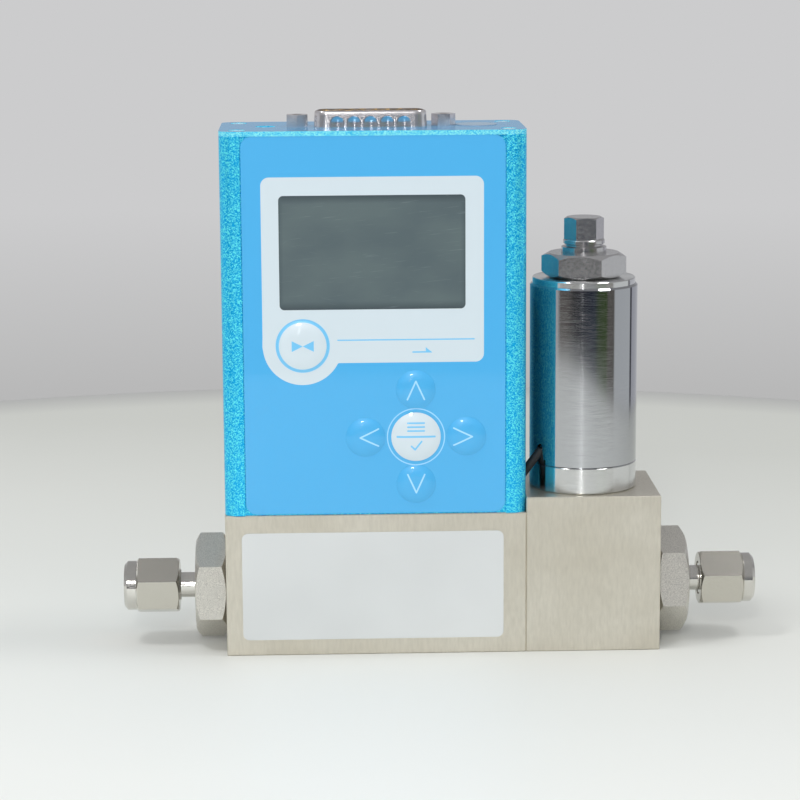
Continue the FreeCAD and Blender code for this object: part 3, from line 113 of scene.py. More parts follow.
class Finish(Nodes):
    """One surface finish: a Principled shader, and the nodes that vary it over the piece."""

    def __init__(self, name, **settings):
        self.material = bpy.data.materials.new(name)
        self.material.use_nodes = True
        super().__init__(self.material.node_tree)
        self.shader = self.tree.nodes["Principled BSDF"]
        self.place = self.node("ShaderNodeTexCoord").outputs["Object"]
        for socket, setting in settings.items():
            self.feed(self.shader, socket.replace("_", " "), setting)

    def grain(self, per_metre, detail=2.0, lean=0.0):
        """Noise with its own number of features per metre along X, Y and Z, leaned about Y."""
        leaned = self.node("ShaderNodeVectorRotate", Vector=self.place, Axis=(0, 1, 0), Angle=lean)
        mapped = self.node("ShaderNodeMapping", Vector=leaned.outputs[0], Scale=per_metre)
        noise = self.node("ShaderNodeTexNoise", Vector=mapped.outputs[0], Scale=1.0, Detail=detail)
        return noise.outputs[0]

    def colour(self, socket):
        self.feed(self.shader, "Base Color", socket)

    def roughness(self, socket):
        self.feed(self.shader, "Roughness", socket)

    def relief(self, height, depth):
        """Bumps as deep as depth, in metres, where the height goes from 0 to 1."""
        made = self.node("ShaderNodeBump", Height=height, Distance=depth, Strength=1.0)
        self.feed(self.shader, "Normal", made.outputs[0])

    def put_on(self, *pieces):
        """The pieces are CAD nodes by name, or pieces made here."""
        for piece in pieces:
            piece = meter[piece] if isinstance(piece, str) else piece
            piece.data.materials.clear()
            piece.data.materials.append(self.material)


ground = Finish("ground_steel", Metallic=0.8, IOR=2.0)
scratches = ground.grain((1900, 1900, 420), 3.0)
clouds = ground.grain((38, 38, 60), 4.0)
ground_tone = ground.mix(ground.spread(clouds, 0, 1), ink(205, 199, 184), ink(218, 213, 200))
ground.colour(ground.mix(ground.spread(scratches, 0, 0.3), ground_tone, ink(186, 181, 168)))
ground.roughness(ground.spread(scratches, 0.3, 0.4))
ground.relief(scratches, 0.0016 * MM)
ground.put_on("sensor_block", "valve_block")

# ---------------------------------------------------------------------------------------------
# The compression fittings. The large hexagons are milled and then bead blasted, and their sparkle is
# painted into the colour as pale specks. The nuts are milled too, with fainter painted specks, and their
# round ends and the necks are turned bright.

BIG_HEX_END = 57.3 * MM
NUT_HEX_END = 71.0 * MM
TURNED_TONE = ink(214, 212, 206)
for title, hex_end, metal, pitting, dullness, pale, dark, nodes in (
        ("blasted_steel", BIG_HEX_END, 0.85, 0.03 * MM, 0.32, ink(230, 227, 218), ink(186, 183, 176),
         ("inlet_fitting", "outlet_fitting")),
        ("milled_steel", NUT_HEX_END, 0.93, 0.004 * MM, 0.19, ink(206, 202, 192), ink(190, 187, 178),
         ("inlet_nut", "outlet_nut"))):
    steel = Finish(title, Metallic=metal, IOR=2.0)
    specks = steel.grain((6200, 6200, 6200), 1.0)
    along_flow = steel.node("ShaderNodeSeparateXYZ", steel.place).outputs[0]
    on_hex = steel.math("LESS_THAN", steel.math("ABSOLUTE", along_flow), hex_end)
    # Painted sparkle: the specks are mixed between a pale glint tone and a darker one.
    specks_and_glints = steel.mix(steel.spread(specks, 0, 1, 0.36, 0.66), pale, dark)
    steel.colour(steel.mix(on_hex, TURNED_TONE, specks_and_glints))
    steel.roughness(steel.between(on_hex, 0.1, dullness))
    steel.relief(steel.math("MULTIPLY", specks, on_hex), pitting)
    steel.put_on(*nodes)

# ---------------------------------------------------------------------------------------------
# The case. An extruded aluminium tube, bead blasted and anodised cyan; the glitter of its fine grains is
# painted highlight in its colour, a pale glint tone on some grains. It stands on the sensor block and has
# a shallow channel for the film in its front.

CASE_PAINTED_GLINT = ink(112, 249, 255)
CASE_DARK = ink(0, 172, 238)
GRAINS_PER_METRE = 4600.0


def glitter(finish):
    """Each blasted grain's own level, from 0 to 1."""
    grains = finish.node("ShaderNodeTexVoronoi", Vector=finish.place, Scale=GRAINS_PER_METRE)
    return finish.node("ShaderNodeSeparateColor", Color=grains.outputs["Color"]).outputs[0]


anodised = Finish("anodised_blue", Metallic=0.6, IOR=1.4)
sparkle = glitter(anodised)
# Painted glints: each grain's colour goes from the anodised cyan towards a pale glint tone.
anodised.colour(anodised.mix(anodised.spread(sparkle, 0, 1, 0.3, 1.0), CASE_DARK, CASE_PAINTED_GLINT))
anodised.roughness(anodised.spread(sparkle, 0.3, 0.5, 0, 1))
anodised.relief(sparkle, 0.014 * MM)
anodised.put_on("case")

# ---------------------------------------------------------------------------------------------
# The cover. A plate of the same aluminium: its top is milled smooth before it is anodised, and its rim is
# blasted as the case is, with the same painted glints in its colour. Four countersunk screws hold it in
# the case's corner ports.

cover = Finish("anodised_cover", Metallic=0.35, IOR=1.8)
sparkle = glitter(cover)
outward = cover.node("ShaderNodeNewGeometry").outputs["Normal"]
facing_up = cover.node("ShaderNodeSeparateXYZ", outward).outputs[2]
on_rim = cover.math("LESS_THAN", facing_up, 0.7)
# The rim's colour is partly the anodised cyan and partly painted glint: its grains go up to a pale glint
# tone.
rim_tone_and_glint = cover.mix(cover.spread(sparkle, 0, 1, 0.1, 0.95), ink(30, 196, 244), ink(150, 250, 255))
milling = cover.grain((300, 4000, 300), 2.0)
top_tone = cover.mix(cover.spread(milling, 0, 0.4), ink(48, 160, 218), ink(84, 180, 226))
cover.colour(cover.mix(on_rim, top_tone, rim_tone_and_glint))
cover.roughness(cover.between(on_rim, 0.18, 0.38))
cover.relief(cover.math("MULTIPLY", sparkle, on_rim), 0.015 * MM)
cover.put_on("top_cover")

# The screws' near white colour is partly the steel's pale tone and partly painted highlight, standing in
# for the glints on their heads.
screws = Finish("screw_steel", Metallic=0.5, Base_Color=ink(244, 244, 246), IOR=2.0)
screws.roughness(screws.spread(screws.grain((2500, 2500, 400), 2.0), 0.25, 0.4))
screws.put_on("cover_screws", "tie_screws", "case_screws", "bracket_screws", "sensor_screws", "jack_nuts")

# ---------------------------------------------------------------------------------------------
# The front film and its six keys. A polyester film, printed from behind and stuck in the case's
# channel, with a dome pressed up over each switch. Blue ground, pale frame round a clear window.

PRINT_BLUE = ink(67, 170, 226)
PRINT_PALE = ink(203, 216, 223)
PRINT_LINE = ink(112, 192, 236)
MENU_RING_TONE = ink(150, 208, 248)
CHEVRON_TONE = ink(160, 214, 250)
WINDOW_PALE = ink(88, 103, 105)
WINDOW_DEEP = ink(80, 95, 99)
WINDOW_EDGE_SHADE = ink(58, 71, 77)
SCUFF_TONE = ink(132, 146, 148)


class Amount:
    """A number that changes over a surface, reckoned with Math nodes."""

    def __init__(self, finish, socket):
        self.finish = finish
        self.socket = socket

    def math(self, operation, *terms, clamp=False):
        terms = [term.socket if isinstance(term, Amount) else term for term in (self, *terms)]
        return Amount(self.finish, self.finish.math(operation, *terms, clamp=clamp))

    def __add__(self, other):
        return self.math("ADD", other)

    def __sub__(self, other):
        return self.math("SUBTRACT", other)

    def __mul__(self, other):
        return self.math("MULTIPLY", other)

    def __abs__(self):
        return self.math("ABSOLUTE")

    def least(self, other):
        return self.math("MINIMUM", other)

    def most(self, other):
        return self.math("MAXIMUM", other)


def length(u, v):
    return (u * u + v * v).math("SQRT")


def plate(x, z, left, right, low, high, corner):
    """How far a point is outside a rounded rectangle, in millimetres; negative inside."""
    u = abs(x - (left + right) / 2) - ((right - left) / 2 - corner)
    v = abs(z - (low + high) / 2) - ((high - low) / 2 - corner)
    return length(u.most(0), v.most(0)) + u.most(v).least(0) - corner


def disc(x, z, centre, radius):
    """How far a point is outside a round disc."""
    return length(x - centre[0], z - centre[1]) - radius


def stroke(x, z, start, end, width):
    """How far a point is outside a line drawn with a round pen."""
    run = (end[0] - start[0], end[1] - start[1])
    square = run[0] ** 2 + run[1] ** 2
    u, v = x - start[0], z - start[1]
    share = (u * (run[0] / square) + v * (run[1] / square)).math("ADD", 0, clamp=True)
    return length(u - share * run[0], v - share * run[1]) - width / 2


SOFT_EDGE = 0.06


def inked(distance):
    """1 where a shape covers the point and 0 outside it, with a soft edge."""
    return (distance * (-1 / SOFT_EDGE)).math("ADD", 0.5, clamp=True).socket


# The print, in millimetres across and up from the meter's origin.
MENU = (-6.25, 51.0)
VALVE = (-31.75, 72.2)
FIELD_CORNER, WINDOW_CORNER = 1.9, 1.1
WINDOW_LEVEL, WINDOW_HALF = 93.3, 12.9
DIVIDER_PEN, CHEVRON_PEN, ARROW_PEN = 0.3, 0.36, 0.34
BAR_PEN, MARK_PEN, MENU_LINE_PEN = 0.38, 0.4, 0.45
MENU_RING_HALF, VALVE_RING_HALF = 0.13, 0.37
film = Finish("printed_film", Roughness=0.36, IOR=1.5, Coat_Weight=0.55, Coat_Roughness=0.025)
spot = film.node("ShaderNodeSeparateXYZ", Vector=film.place)
x = Amount(film, spot.outputs[0]) * (1 / MM)
z = Amount(film, spot.outputs[2]) * (1 / MM)

lobe = disc(x, z, (-31.8, 72.2), 8.95)
low_part = plate(x, z, -30.0, 9.23, 68.2, 90.0, FIELD_CORNER)
high_part = plate(x, z, -40.78, 9.23, 70.3, 110.35, FIELD_CORNER)
pale_field = high_part.least(low_part).math("SMOOTH_MIN", lobe, 0.4)
window = plate(x, z, -36.85, 5.08, WINDOW_LEVEL - WINDOW_HALF, WINDOW_LEVEL + WINDOW_HALF, WINDOW_CORNER)
valve_ring = abs(disc(x, z, VALVE, 5.75)) - VALVE_RING_HALF
menu_disc = disc(x, z, MENU, 5.62)
menu_ring = abs(disc(x, z, MENU, 6.5)) - MENU_RING_HALF

from_side = abs(x - MENU[0])
from_level = abs(z - MENU[1])
chevrons = stroke(from_side, z, (0, 63.9), (1.93, 59.7), CHEVRON_PEN)
chevrons = chevrons.least(stroke(from_side, z, (0, 38.1), (1.93, 42.3), CHEVRON_PEN))
chevrons = chevrons.least(stroke(x, from_level, (-18.95, 0), (-14.8, 1.98), CHEVRON_PEN))
chevrons = chevrons.least(stroke(x, from_level, (6.55, 0), (2.35, 1.98), CHEVRON_PEN))

# The arrow's half head and the bow tie are each what lies inside several straight lines.
half_head = (x * 0.85 + z - 68.3).most(x * -1 - 3.95).most(z * -1 + 70.38)
from_valve = abs(x - VALVE[0])
bow = (abs(z - VALVE[1]) - from_valve * 0.5).most(from_valve - 2.5)
lines = stroke(x, z, (-23.8, 73.42), (7.0, 73.42), DIVIDER_PEN)
for shape in (
        stroke(x, z, (-6.85, 70.55), (-2.8, 70.55), ARROW_PEN),
        half_head,
        stroke(x, z, (-10.5, 51.1), (-2.0, 51.1), MENU_LINE_PEN),
        stroke(x, z, (-7.3, 48.9), (-6.5, 48.1), MARK_PEN),
        stroke(x, z, (-6.5, 48.1), (-5.0, 50.0), MARK_PEN),
        stroke(x, abs(z - 53.35), (-8.1, 0.9), (-4.4, 0.9), BAR_PEN),
        stroke(x, z, (-8.1, 53.35), (-4.4, 53.35), BAR_PEN),
        bow, valve_ring):
    lines = lines.least(shape)

tone = film.mix(inked(pale_field), PRINT_BLUE, PRINT_PALE)
tone = film.mix(inked(menu_disc), tone, PRINT_PALE)
tone = film.mix(inked(menu_ring), tone, MENU_RING_TONE)
tone = film.mix(inked(chevrons), tone, CHEVRON_TONE)
tone = film.mix(inked(lines), tone, PRINT_LINE)
haze = film.grain((75, 75, 130), 2.0)
# Painted shade: the window darkens within about 2 mm of its edges, where the display lies deeper behind
# the frame.
to_edge = (abs(z - WINDOW_LEVEL) - WINDOW_HALF).most(window - 0.9)
glass = film.mix(film.spread(haze, 0, 1, 0.35, 0.65), WINDOW_DEEP, WINDOW_PALE)
glass = film.mix(film.spread(to_edge.socket, 0, 1, -1.9, 0.1), glass, WINDOW_EDGE_SHADE)
for tilt, threshold in ((0.1, 0.63), (-0.2, 0.68), (0.5, 0.72)):
    scuffs = film.grain((170, 170, 3600), 5.0, tilt)
    glass = film.mix(film.spread(scuffs, 0, 0.4, threshold, threshold + 0.16), glass, SCUFF_TONE)
film.colour(film.mix(inked(window), tone, glass))
film.relief(film.grain((220, 220, 220), 2.0), 0.004 * MM)
film.put_on("front_film")

SAME_PLACE = 1e-7


def new_piece(name, mesh):
    """The finished mesh as a piece in the scene."""
    data = bpy.data.meshes.new(name)
    mesh.to_mesh(data)
    mesh.free()
    piece = bpy.data.objects.new(name, data)
    bpy.context.scene.collection.objects.link(piece)
    return piece


def turned(name, section, centre):
    """A piece of revolution: a half section of points swept round an upright on the film."""
    mesh = bmesh.new()
    points = [mesh.verts.new(point) for point in section]
    edges = [mesh.edges.new(pair) for pair in zip(points, points[1:])]
    bmesh.ops.spin(mesh, geom=points + edges, cent=centre, axis=(0, 1, 0), angle=2 * math.pi,
                   steps=96, use_merge=True)
    bmesh.ops.remove_doubles(mesh, verts=mesh.verts[:], dist=SAME_PLACE)
    bmesh.ops.recalc_face_normals(mesh, faces=mesh.faces[:])
    return new_piece(name, mesh)


def smooth(piece):
    """Smooth shading, with the edges sharper than 30 degrees kept."""
    piece.data.shade_smooth()
    mesh = bmesh.new()
    mesh.from_mesh(piece.data)
    for edge in mesh.edges:
        if edge.is_manifold and edge.calc_face_angle() > math.radians(30):
            edge.smooth = False
    mesh.to_mesh(piece.data)
    mesh.free()


KEY_PROUD = 0.7 * MM
KEY_CLEARANCE = 0.08 * MM
RIM_GAP = 0.015 * MM
DOME_RISE = 0.68 * MM
DOME_BACK = 0.03 * MM
STUD_RADIUS = 1.7 * MM
DOME_STEPS = 28
for name in ("key_valve", "key_menu", "key_up", "key_down", "key_left", "key_right"):
    low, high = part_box(name)
    centre = Vector(((low.x + high.x) / 2, high.y, (low.z + high.z) / 2))
    rim = (high.x - low.x) / 2 + KEY_CLEARANCE - RIM_GAP
    film_face = low.y + KEY_PROUD
    section = []
    for step in range(DOME_STEPS + 1):
        out = step / DOME_STEPS
        section.append((rim * out, film_face - DOME_RISE * (1 - out ** 4) ** 1.1))
    section += [(rim, film_face + DOME_BACK), (STUD_RADIUS, film_face + DOME_BACK), (STUD_RADIUS, high.y),
                (0, high.y)]
    dome = turned(name + "_dome", [Vector((centre.x + out, y, centre.z)) for out, y in section], centre)
    smooth(dome)
    film.put_on(dome)
    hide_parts(name)
    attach(dome, name)

# ---------------------------------------------------------------------------------------------
# The connector. A bright plated steel shell round a black moulding with fifteen gold pins, held
# from below the cover by two hexagonal posts that the plug's screws go into.

plated = Finish("bright_plate", Metallic=0.92, IOR=2.0)
stains = plated.grain((500, 500, 900), 3.0)
plated.colour(plated.mix(plated.spread(stains, 0, 0.5), ink(240, 238, 240), ink(206, 194, 186)))
plated.roughness(plated.spread(stains, 0.17, 0.27))
plated.put_on("jackscrews")

# The shell is drawn up from a D with round corners, and its arched dents are pressed in: five in
# front, four behind. The CAD flange below it is kept. All in millimetres.
SHELL_X, SHELL_WIDE, SHELL_DEEP, SHELL_CORNER, SHELL_SLOPE = -15.8, 25.7, 8.4, 2.6, math.radians(10)
FLANGE_TOP, COVER_TOP, SHELL_TOP = 117.9, 120.6, 124.3
SHELL_WALL, SHELL_LEAN, RIM_ROUND, INNER_RIM_DROP = 0.5, 0.2, 0.42, 0.03
SHELL_IN_FLANGE, SHELL_STEP, SHELL_STEPS = 0.2, 0.16, 22
LONG_SIDE, LONG_SIDE_CUTS = 15, 89
DENT_PITCH, DENT_HALF, DENT_DEPTH = 3.77, 1.45, 0.42
DENT_CROWN, DENT_FOOT = COVER_TOP + 0.95, COVER_TOP - 0.7
DENT_ROWS = {-1: 5, 1: 4}


def lean(up):
    """How far the shell's wall has leant inwards at a height, in millimetres."""
    return SHELL_LEAN * max(0.0, up - COVER_TOP) / (SHELL_TOP - COVER_TOP)


def cad_copy(name):
    """A copy of a CAD node's mesh with its doubled vertices merged."""
    mesh = bmesh.new()
    mesh.from_mesh(meter[name].data)
    mesh.transform(meter[name].matrix_world)
    bmesh.ops.remove_doubles(mesh, verts=mesh.verts[:], dist=SAME_PLACE)
    return mesh


half_front = SHELL_WIDE / 2 + SHELL_CORNER * (math.tan(SHELL_SLOPE) + 1 / math.cos(SHELL_SLOPE) - 1)
half_rear = half_front - SHELL_DEEP * math.tan(SHELL_SLOPE)
heights = [FLANGE_TOP - SHELL_IN_FLANGE]
heights += [DENT_FOOT + SHELL_STEP * i for i in range(SHELL_STEPS)]
heights.append(SHELL_TOP - RIM_ROUND)
# The wall's section, as how far in and how high: up outside, over the round rim and down inside.
path = [(lean(up), up) for up in heights]
path += [(SHELL_LEAN + RIM_ROUND * (1 - math.cos(a)), SHELL_TOP - RIM_ROUND * (1 - math.sin(a)))
         for a in (math.radians(18 * i) for i in range(1, 6))]
path.append((SHELL_LEAN + SHELL_WALL, SHELL_TOP - INNER_RIM_DROP))
path += [(lean(up) + SHELL_WALL, up) for up in reversed(heights)]

mesh = bmesh.new()
corners = [mesh.verts.new(((SHELL_X + x) * MM, y * MM, path[0][1] * MM)) for x, y in (
    (-half_front, -SHELL_DEEP / 2), (half_front, -SHELL_DEEP / 2), (half_rear, SHELL_DEEP / 2),
    (-half_rear, SHELL_DEEP / 2))]
mesh.faces.new(corners)
for pair, slope in ((corners[:2], -SHELL_SLOPE), (corners[2:], SHELL_SLOPE)):
    reach = SHELL_CORNER * MM / math.tan(math.pi / 4 + slope / 2)
    bmesh.ops.bevel(mesh, geom=pair, offset=reach, affect="VERTICES", segments=8, profile=0.5, material=-1)
bmesh.ops.delete(mesh, geom=mesh.faces[:], context="FACES_ONLY")
long_sides = [e for e in mesh.edges if e.calc_length() > LONG_SIDE * MM]
bmesh.ops.subdivide_edges(mesh, edges=long_sides, cuts=LONG_SIDE_CUTS)
ring = mesh.edges[:]
for (inset, up), (next_inset, next_up) in zip(path, path[1:]):
    drawn = bmesh.ops.extrude_edge_only(mesh, edges=ring)["geom"]
    verts = [v for v in drawn if isinstance(v, bmesh.types.BMVert)]
    ring = list({e for v in verts for e in v.link_edges if e.other_vert(v) in verts})
    shrink = [(half - next_inset) / (half - inset) for half in (SHELL_WIDE / 2, SHELL_DEEP / 2)]
    bmesh.ops.scale(mesh, vec=(*shrink, 1), space=Matrix.Translation((-SHELL_X * MM, 0, 0)), verts=verts)
    bmesh.ops.translate(mesh, vec=(0, 0, (next_up - up) * MM), verts=verts)
for vert in mesh.verts:
    side = math.copysign(1, vert.co.y)
    along, up = vert.co.x / MM - SHELL_X, vert.co.z / MM
    if up > DENT_FOOT - SHELL_STEP / 2:
        count = DENT_ROWS[side]
        nearest = min(abs(along - (i - (count - 1) / 2) * DENT_PITCH) for i in range(count))
        out = math.hypot(nearest, max(0.0, up - DENT_CROWN)) / DENT_HALF
        vert.co.y -= side * DENT_DEPTH * max(0.0, 1 - out * out) * MM
bmesh.ops.bridge_loops(mesh, edges=[e for e in mesh.edges if e.is_boundary])
bmesh.ops.recalc_face_normals(mesh, faces=mesh.faces[:])

flange = cad_copy("dsub_shell")
bmesh.ops.bisect_plane(flange, geom=flange.verts[:] + flange.edges[:] + flange.faces[:],
                       plane_co=(0, 0, FLANGE_TOP * MM), plane_no=(0, 0, 1), clear_outer=True)
bmesh.ops.bridge_loops(flange, edges=[e for e in flange.edges if e.is_boundary])
flange_data = bpy.data.meshes.new("flange")
flange.to_mesh(flange_data)
flange.free()
mesh.from_mesh(flange_data)
bpy.data.meshes.remove(flange_data)
shell = new_piece("connector_shell", mesh)
smooth(shell)
plated.put_on(shell)
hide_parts("dsub_shell")
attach(shell, "meter")

moulding = Finish("black_moulding", Base_Color=ink(28, 28, 30), IOR=1.5)
moulding.roughness(moulding.spread(moulding.grain((1500, 1500, 1500)), 0.4, 0.6))
moulding.put_on("dsub_insulator", "key_switches", "zero_trimmer")
gold = Finish("gold_plate", Metallic=1.0, Base_Color=ink(226, 190, 110), IOR=1.5)
gold.roughness(gold.spread(gold.grain((1500, 1500, 1500)), 0.15, 0.3))
gold.put_on("dsub_pins")

# ---------------------------------------------------------------------------------------------
# The paper labels: a plain pale plate on the sensor block and a round seal on the cover. Both are
# satin stickers with a faint unevenness.

for title, first, second, node in (
        ("pale_label", ink(200, 203, 203), ink(208, 211, 211), "rating_label"),
        ("paper_seal", ink(140, 158, 176), ink(150, 168, 184), "check_dot")):
    label = Finish(title, IOR=1.45)
    label.colour(label.mix(label.spread(label.grain((30, 30, 30)), 0, 1), first, second))
    label.roughness(label.spread(label.grain((900, 900, 900)), 0.4, 0.55))
    label.relief(label.grain((60, 60, 60), 2.0), 0.02 * MM)
    label.put_on(node)

# ---------------------------------------------------------------------------------------------
# The solenoid valve. A chromed can over the coil, on a turned collar; a washer and a nut on the
# core tube hold it down, and the tube ends in a small hexagon.

VALVE_AXIS = (33.2 * MM, 0, 0)


def turned_bright(title, tone, low, high, frm, to):
    """Bright metal turned round the valve's axis: its fine grooves draw each highlight upright."""
    bright = Finish(title, Metallic=1.0, Base_Color=tone, IOR=2.5, Anisotropic=1.0)
    marks = bright.grain((300, 300, 40000), 0.0)
    bright.roughness(bright.spread(marks, low, high, frm, to))
    arm = bright.node("ShaderNodeVectorMath", bright.place, VALVE_AXIS, operation="SUBTRACT").outputs[0]
    around = bright.node("ShaderNodeVectorMath", (0, 0, 1), arm, operation="CROSS_PRODUCT").outputs[0]
    outward = bright.node("ShaderNodeNewGeometry").outputs["Normal"]
    across_grooves = bright.node("ShaderNodeVectorMath", outward, around, operation="CROSS_PRODUCT")
    bright.feed(bright.shader, "Tangent", across_grooves.outputs[0])
    return bright


chromed = turned_bright("chromed_can", ink(184, 186, 189), 0.05, 0.14, 0.5, 0.8)
chromed.put_on("coil_housing")
turned_steel = turned_bright("turned_collar", ink(222, 223, 222), 0.14, 0.22, 0.3, 0.7)
turned_steel.put_on("coil_collar", "housing_washer")
nickel = Finish("nickel_plate", Metallic=0.95, IOR=2.0)
mottle = nickel.grain((1700, 1700, 1700), 3.0)
nickel.colour(nickel.mix(nickel.spread(mottle, 0, 0.3), ink(204, 203, 203), ink(178, 177, 178)))
nickel.roughness(nickel.spread(mottle, 0.17, 0.26))
nickel.relief(mottle, 0.0025 * MM)
nickel.put_on("lock_nut", "valve_stem")
rubber = Finish("black_rubber", Base_Color=ink(26, 26, 28), IOR=1.5)
rubber.roughness(rubber.spread(rubber.grain((900, 900, 900)), 0.42, 0.6))
rubber.put_on("valve_lead", "inlet_seal", "outlet_seal", "joint_seal", "sensor_seals", "stem_seal")

# ---------------------------------------------------------------------------------------------
# The inside: sensor, boards, display and the valve's core. Plain machined, drawn or moulded parts,
# seen only when the meter is taken apart.

machined = Finish("machined_steel", Metallic=1.0, IOR=2.5)
machined.colour(machined.mix(machined.spread(machined.grain((800, 800, 800)), 0, 1), ink(180, 178, 174),
                             ink(200, 198, 194)))
machined.roughness(machined.spread(machined.grain((1500, 200, 200)), 0.25, 0.4))
machined.put_on("flow_element", "sensor_foot", "capillary_tube", "case_bracket", "plunger",
                "inlet_front_ferrule", "outlet_front_ferrule", "inlet_back_ferrule", "outlet_back_ferrule")

# The valve's return spring: its own copy of the CAD mesh, hung on the meter.
spring = new_piece("return_spring", cad_copy("plunger_spring"))
smooth(spring)
machined.put_on(spring)
low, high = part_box("plunger_spring")
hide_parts("plunger_spring")
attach(spring, "meter")
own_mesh(spring)

sheet_metal = Finish("plain_aluminium", Metallic=1.0, Base_Color=ink(215, 216, 218), IOR=1.4)
sheet_metal.roughness(sheet_metal.spread(sheet_metal.grain((300, 2500, 300)), 0.3, 0.45))
sheet_metal.put_on("sensor_cover")
copper = Finish("enamelled_copper", Metallic=1.0, IOR=1.5)
wires = copper.grain((100, 100, 4500), 1.0)
copper.colour(copper.mix(copper.spread(wires, 0, 1), ink(150, 80, 45), ink(205, 125, 80)))
copper.roughness(copper.spread(wires, 0.25, 0.4))
copper.put_on("coil_winding", "sensor_windings")
board = Finish("lacquered_board", IOR=1.5)
weave = board.grain((1200, 1200, 1200), 2.0)
board.colour(board.mix(board.spread(weave, 0, 1), ink(20, 84, 48), ink(30, 104, 60)))
board.roughness(board.spread(weave, 0.3, 0.42))
board.put_on("key_board", "main_board")
pane = Finish("display_pane", Base_Color=ink(70, 84, 84), IOR=1.5, Coat_Weight=0.6)
pane.roughness(pane.spread(pane.grain((700, 700, 700)), 0.1, 0.2))
pane.put_on("display_glass")
backing = Finish("display_backing", IOR=1.5)
backing.colour(backing.mix(backing.spread(backing.grain((500, 500, 500)), 0, 1), ink(46, 52, 52),
                           ink(58, 64, 64)))
backing.roughness(backing.spread(backing.grain((900, 900, 900)), 0.5, 0.65))
backing.put_on("display_frame")
seat = Finish("seat_plastic", IOR=1.5)
seat.colour(seat.mix(seat.spread(seat.grain((900, 900, 900)), 0, 1), ink(228, 226, 216),
                     ink(238, 236, 228)))
seat.roughness(seat.spread(seat.grain((900, 900, 900)), 0.35, 0.5))
seat.put_on("valve_seat")

# ---------------------------------------------------------------------------------------------
# The stage: a round white table top before a plain grey backdrop, two soft lamps overhead, a wide
# one in front, and a small square and a tall narrow one behind the camera for the highlights.

TABLE_RADIUS = 0.362
TABLE_CENTRE = (-0.02, -0.028)
TABLE_THICKNESS = 0.012
TABLE_EDGE = 0.028
mesh = bmesh.new()
bmesh.ops.create_circle(mesh, cap_ends=True, segments=256, radius=TABLE_RADIUS,
                        matrix=Matrix.Translation((TABLE_CENTRE[0], TABLE_CENTRE[1], 0)))
drawn = bmesh.ops.extrude_face_region(mesh, geom=mesh.faces[:])["geom"]
bmesh.ops.translate(mesh, vec=(0, 0, -TABLE_THICKNESS),
                    verts=[v for v in drawn if isinstance(v, bmesh.types.BMVert)])
bmesh.ops.recalc_face_normals(mesh, faces=mesh.faces[:])
table = new_piece("table_top", mesh)
white = Finish("white_table", Roughness=0.5, IOR=1.45)
spot = white.node("ShaderNodeSeparateXYZ", Vector=white.place)
x, y = Amount(white, spot.outputs[0]), Amount(white, spot.outputs[1])
# Painted shade: the table top goes from pale in front to darker towards the rear and the right, in broad
# patches, standing in for the lamps' falloff. It is also darker over the last 28 mm to its rim and on its
# side.
patches = Amount(white, white.grain((9, 9, 9), 3.0)) * 0.06
to_rear = (y + x * 0.35 + patches).socket
painted_falloff_top = white.mix(white.spread(to_rear, 0, 1, -0.09, 0.27), ink(227, 228, 224), ink(201, 202, 196))
from_centre = length(x - TABLE_CENTRE[0], y - TABLE_CENTRE[1]).socket
on_edge = white.spread(from_centre, 0, 1, TABLE_RADIUS - TABLE_EDGE, TABLE_RADIUS)
white.colour(white.mix(on_edge, painted_falloff_top, ink(176, 176, 174)))
white.put_on(table)

world = bpy.data.worlds.new("studio")
bpy.context.scene.world = world
world.use_nodes = True
world.node_tree.nodes.clear()
studio = Nodes(world.node_tree)

# The room as bright metal sees it, by compass direction: dark towards the camera, pale at the
# sides and behind. Stops run from straight behind, round the left, to straight behind again.
ROOM = ((0.0, (196, 197, 199)), (0.16, (202, 204, 207)), (0.325, (196, 196, 198)),
        (0.345, (110, 104, 100)), (0.39, (96, 90, 86)), (0.43, (44, 42, 46)), (0.48, (42, 44, 54)),
        (0.55, (44, 52, 68)), (0.575, (60, 76, 46)), (0.622, (66, 84, 46)), (0.635, (106, 102, 98)),
        (0.672, (104, 100, 96)), (0.682, (204, 207, 210)), (0.81, (206, 209, 212)), (0.815, (78, 78, 86)),
        (0.83, (78, 78, 86)), (0.835, (186, 187, 196)), (1.0, (196, 197, 199)))
CEILING = ink(156, 156, 158)
WALL_TOP = ink(204, 204, 205)
WALL_FOOT = ink(182, 182, 182)
DAYLIGHT = (0.97, 0.985, 1.0, 1)
direction = studio.node("ShaderNodeTexCoord").outputs["Generated"]
to_right, to_rear, to_top = studio.node("ShaderNodeSeparateXYZ", direction).outputs
compass = studio.math("ARCTAN2", to_right, studio.math("MULTIPLY", to_rear, -1.0))
room = studio.node("ShaderNodeValToRGB", studio.spread(compass, 0.0, 1.0, -math.pi, math.pi))
stops = room.color_ramp.elements
stops[0].position, stops[0].color = ROOM[0][0], ink(*ROOM[0][1])
stops[1].position, stops[1].color = ROOM[-1][0], ink(*ROOM[-1][1])
for position, tone in ROOM[1:-1]:
    stops.new(position).color = ink(*tone)
around = studio.mix(studio.spread(to_top, 0.0, 1.0, -0.1, 0.32), room.outputs[0], CEILING)
wall = studio.mix(studio.spread(to_top, 0.0, 1.0, -0.185, -0.11), WALL_FOOT, WALL_TOP)
plain_light = studio.node("ShaderNodeBackground", DAYLIGHT, 0.72).outputs[0]
backdrop = studio.node("ShaderNodeBackground", wall, 1.0).outputs[0]
mirrored = studio.node("ShaderNodeBackground", around, 1.0).outputs[0]
rays = studio.node("ShaderNodeLightPath").outputs
lit = studio.node("ShaderNodeMixShader", rays["Is Glossy Ray"], plain_light, mirrored).outputs[0]
seen = studio.math("MAXIMUM", rays["Is Camera Ray"], rays["Is Transmission Ray"])
studio.node("ShaderNodeOutputWorld", studio.node("ShaderNodeMixShader", seen, lit, backdrop).outputs[0])


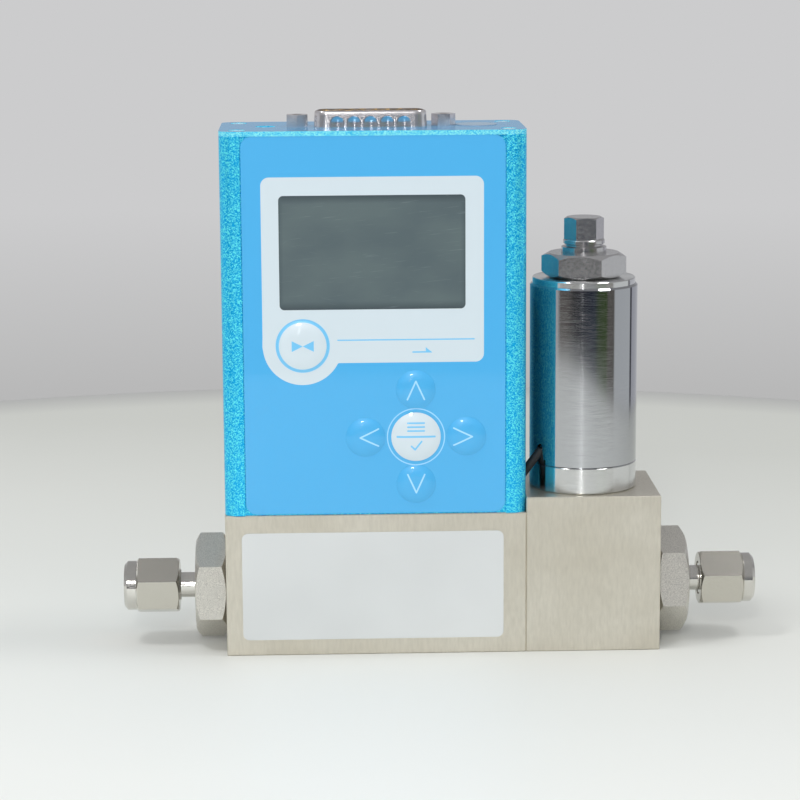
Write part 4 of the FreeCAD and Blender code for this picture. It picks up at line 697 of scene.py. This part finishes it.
def soft_light(name, place, aim, size, power, tall=None):
    """A lamp of a width, and a height where it isn't square, in metres, that faces its aim."""
    lamp = bpy.data.lights.new(name, "AREA")
    lamp.shape = "RECTANGLE"
    lamp.size = size
    lamp.size_y = tall or size
    lamp.energy = power
    piece = bpy.data.objects.new(name, lamp)
    facing = (Vector(aim) - Vector(place)).to_track_quat("-Z", "Y")
    piece.matrix_world = Matrix.Translation(place) @ facing.to_matrix().to_4x4()
    bpy.context.scene.collection.objects.link(piece)
    return piece


soft_light("left_lamp", (-0.44, -0.17, 1.0), (0, 0, 0), 0.22, 2.5)
soft_light("right_lamp", (0.45, -0.04, 1.0), (0, 0, 0), 0.22, 2.0)
front_soft = soft_light("front_soft", (-0.25, -1.5, 0.7), (0, 0, 0.06), 1.0, 6.0)
front_soft.visible_glossy = False
soft_light("highlight", (-0.13, -0.95, 0.55), (0, 0, 0.06), 0.1, 1.8)
soft_light("strip", (-0.09, -0.95, 0.3), (0, 0, 0.3), 0.012, 0.28, tall=0.52)

# ---------------------------------------------------------------------------------------------
# The camera, where the photograph was taken from.

YAW, PITCH, ROLL = math.radians(1.891), math.radians(10.531), math.radians(-0.333)
FOCAL_PIXELS, PICTURE_PIXELS, SENSOR_WIDTH = 2609.5, 800, 36
STANDPOINT = (-0.02906, -0.59581, 0.16778)
ahead = Vector((math.sin(YAW) * math.cos(PITCH), math.cos(YAW) * math.cos(PITCH), -math.sin(PITCH)))
level = Vector((math.cos(YAW), -math.sin(YAW), 0))
upward = level.cross(ahead)
right = math.cos(ROLL) * level + math.sin(ROLL) * upward
top = math.cos(ROLL) * upward - math.sin(ROLL) * level
lens = bpy.data.cameras.new("camera")
lens.sensor_width = SENSOR_WIDTH
lens.lens = FOCAL_PIXELS * SENSOR_WIDTH / PICTURE_PIXELS
camera = bpy.data.objects.new("camera", lens)
facing = Matrix((right, top, -ahead)).transposed().to_4x4()
camera.matrix_world = Matrix.Translation(STANDPOINT) @ facing
bpy.context.scene.collection.objects.link(camera)
bpy.context.scene.camera = camera
bpy.context.scene.view_settings.view_transform = "Standard"
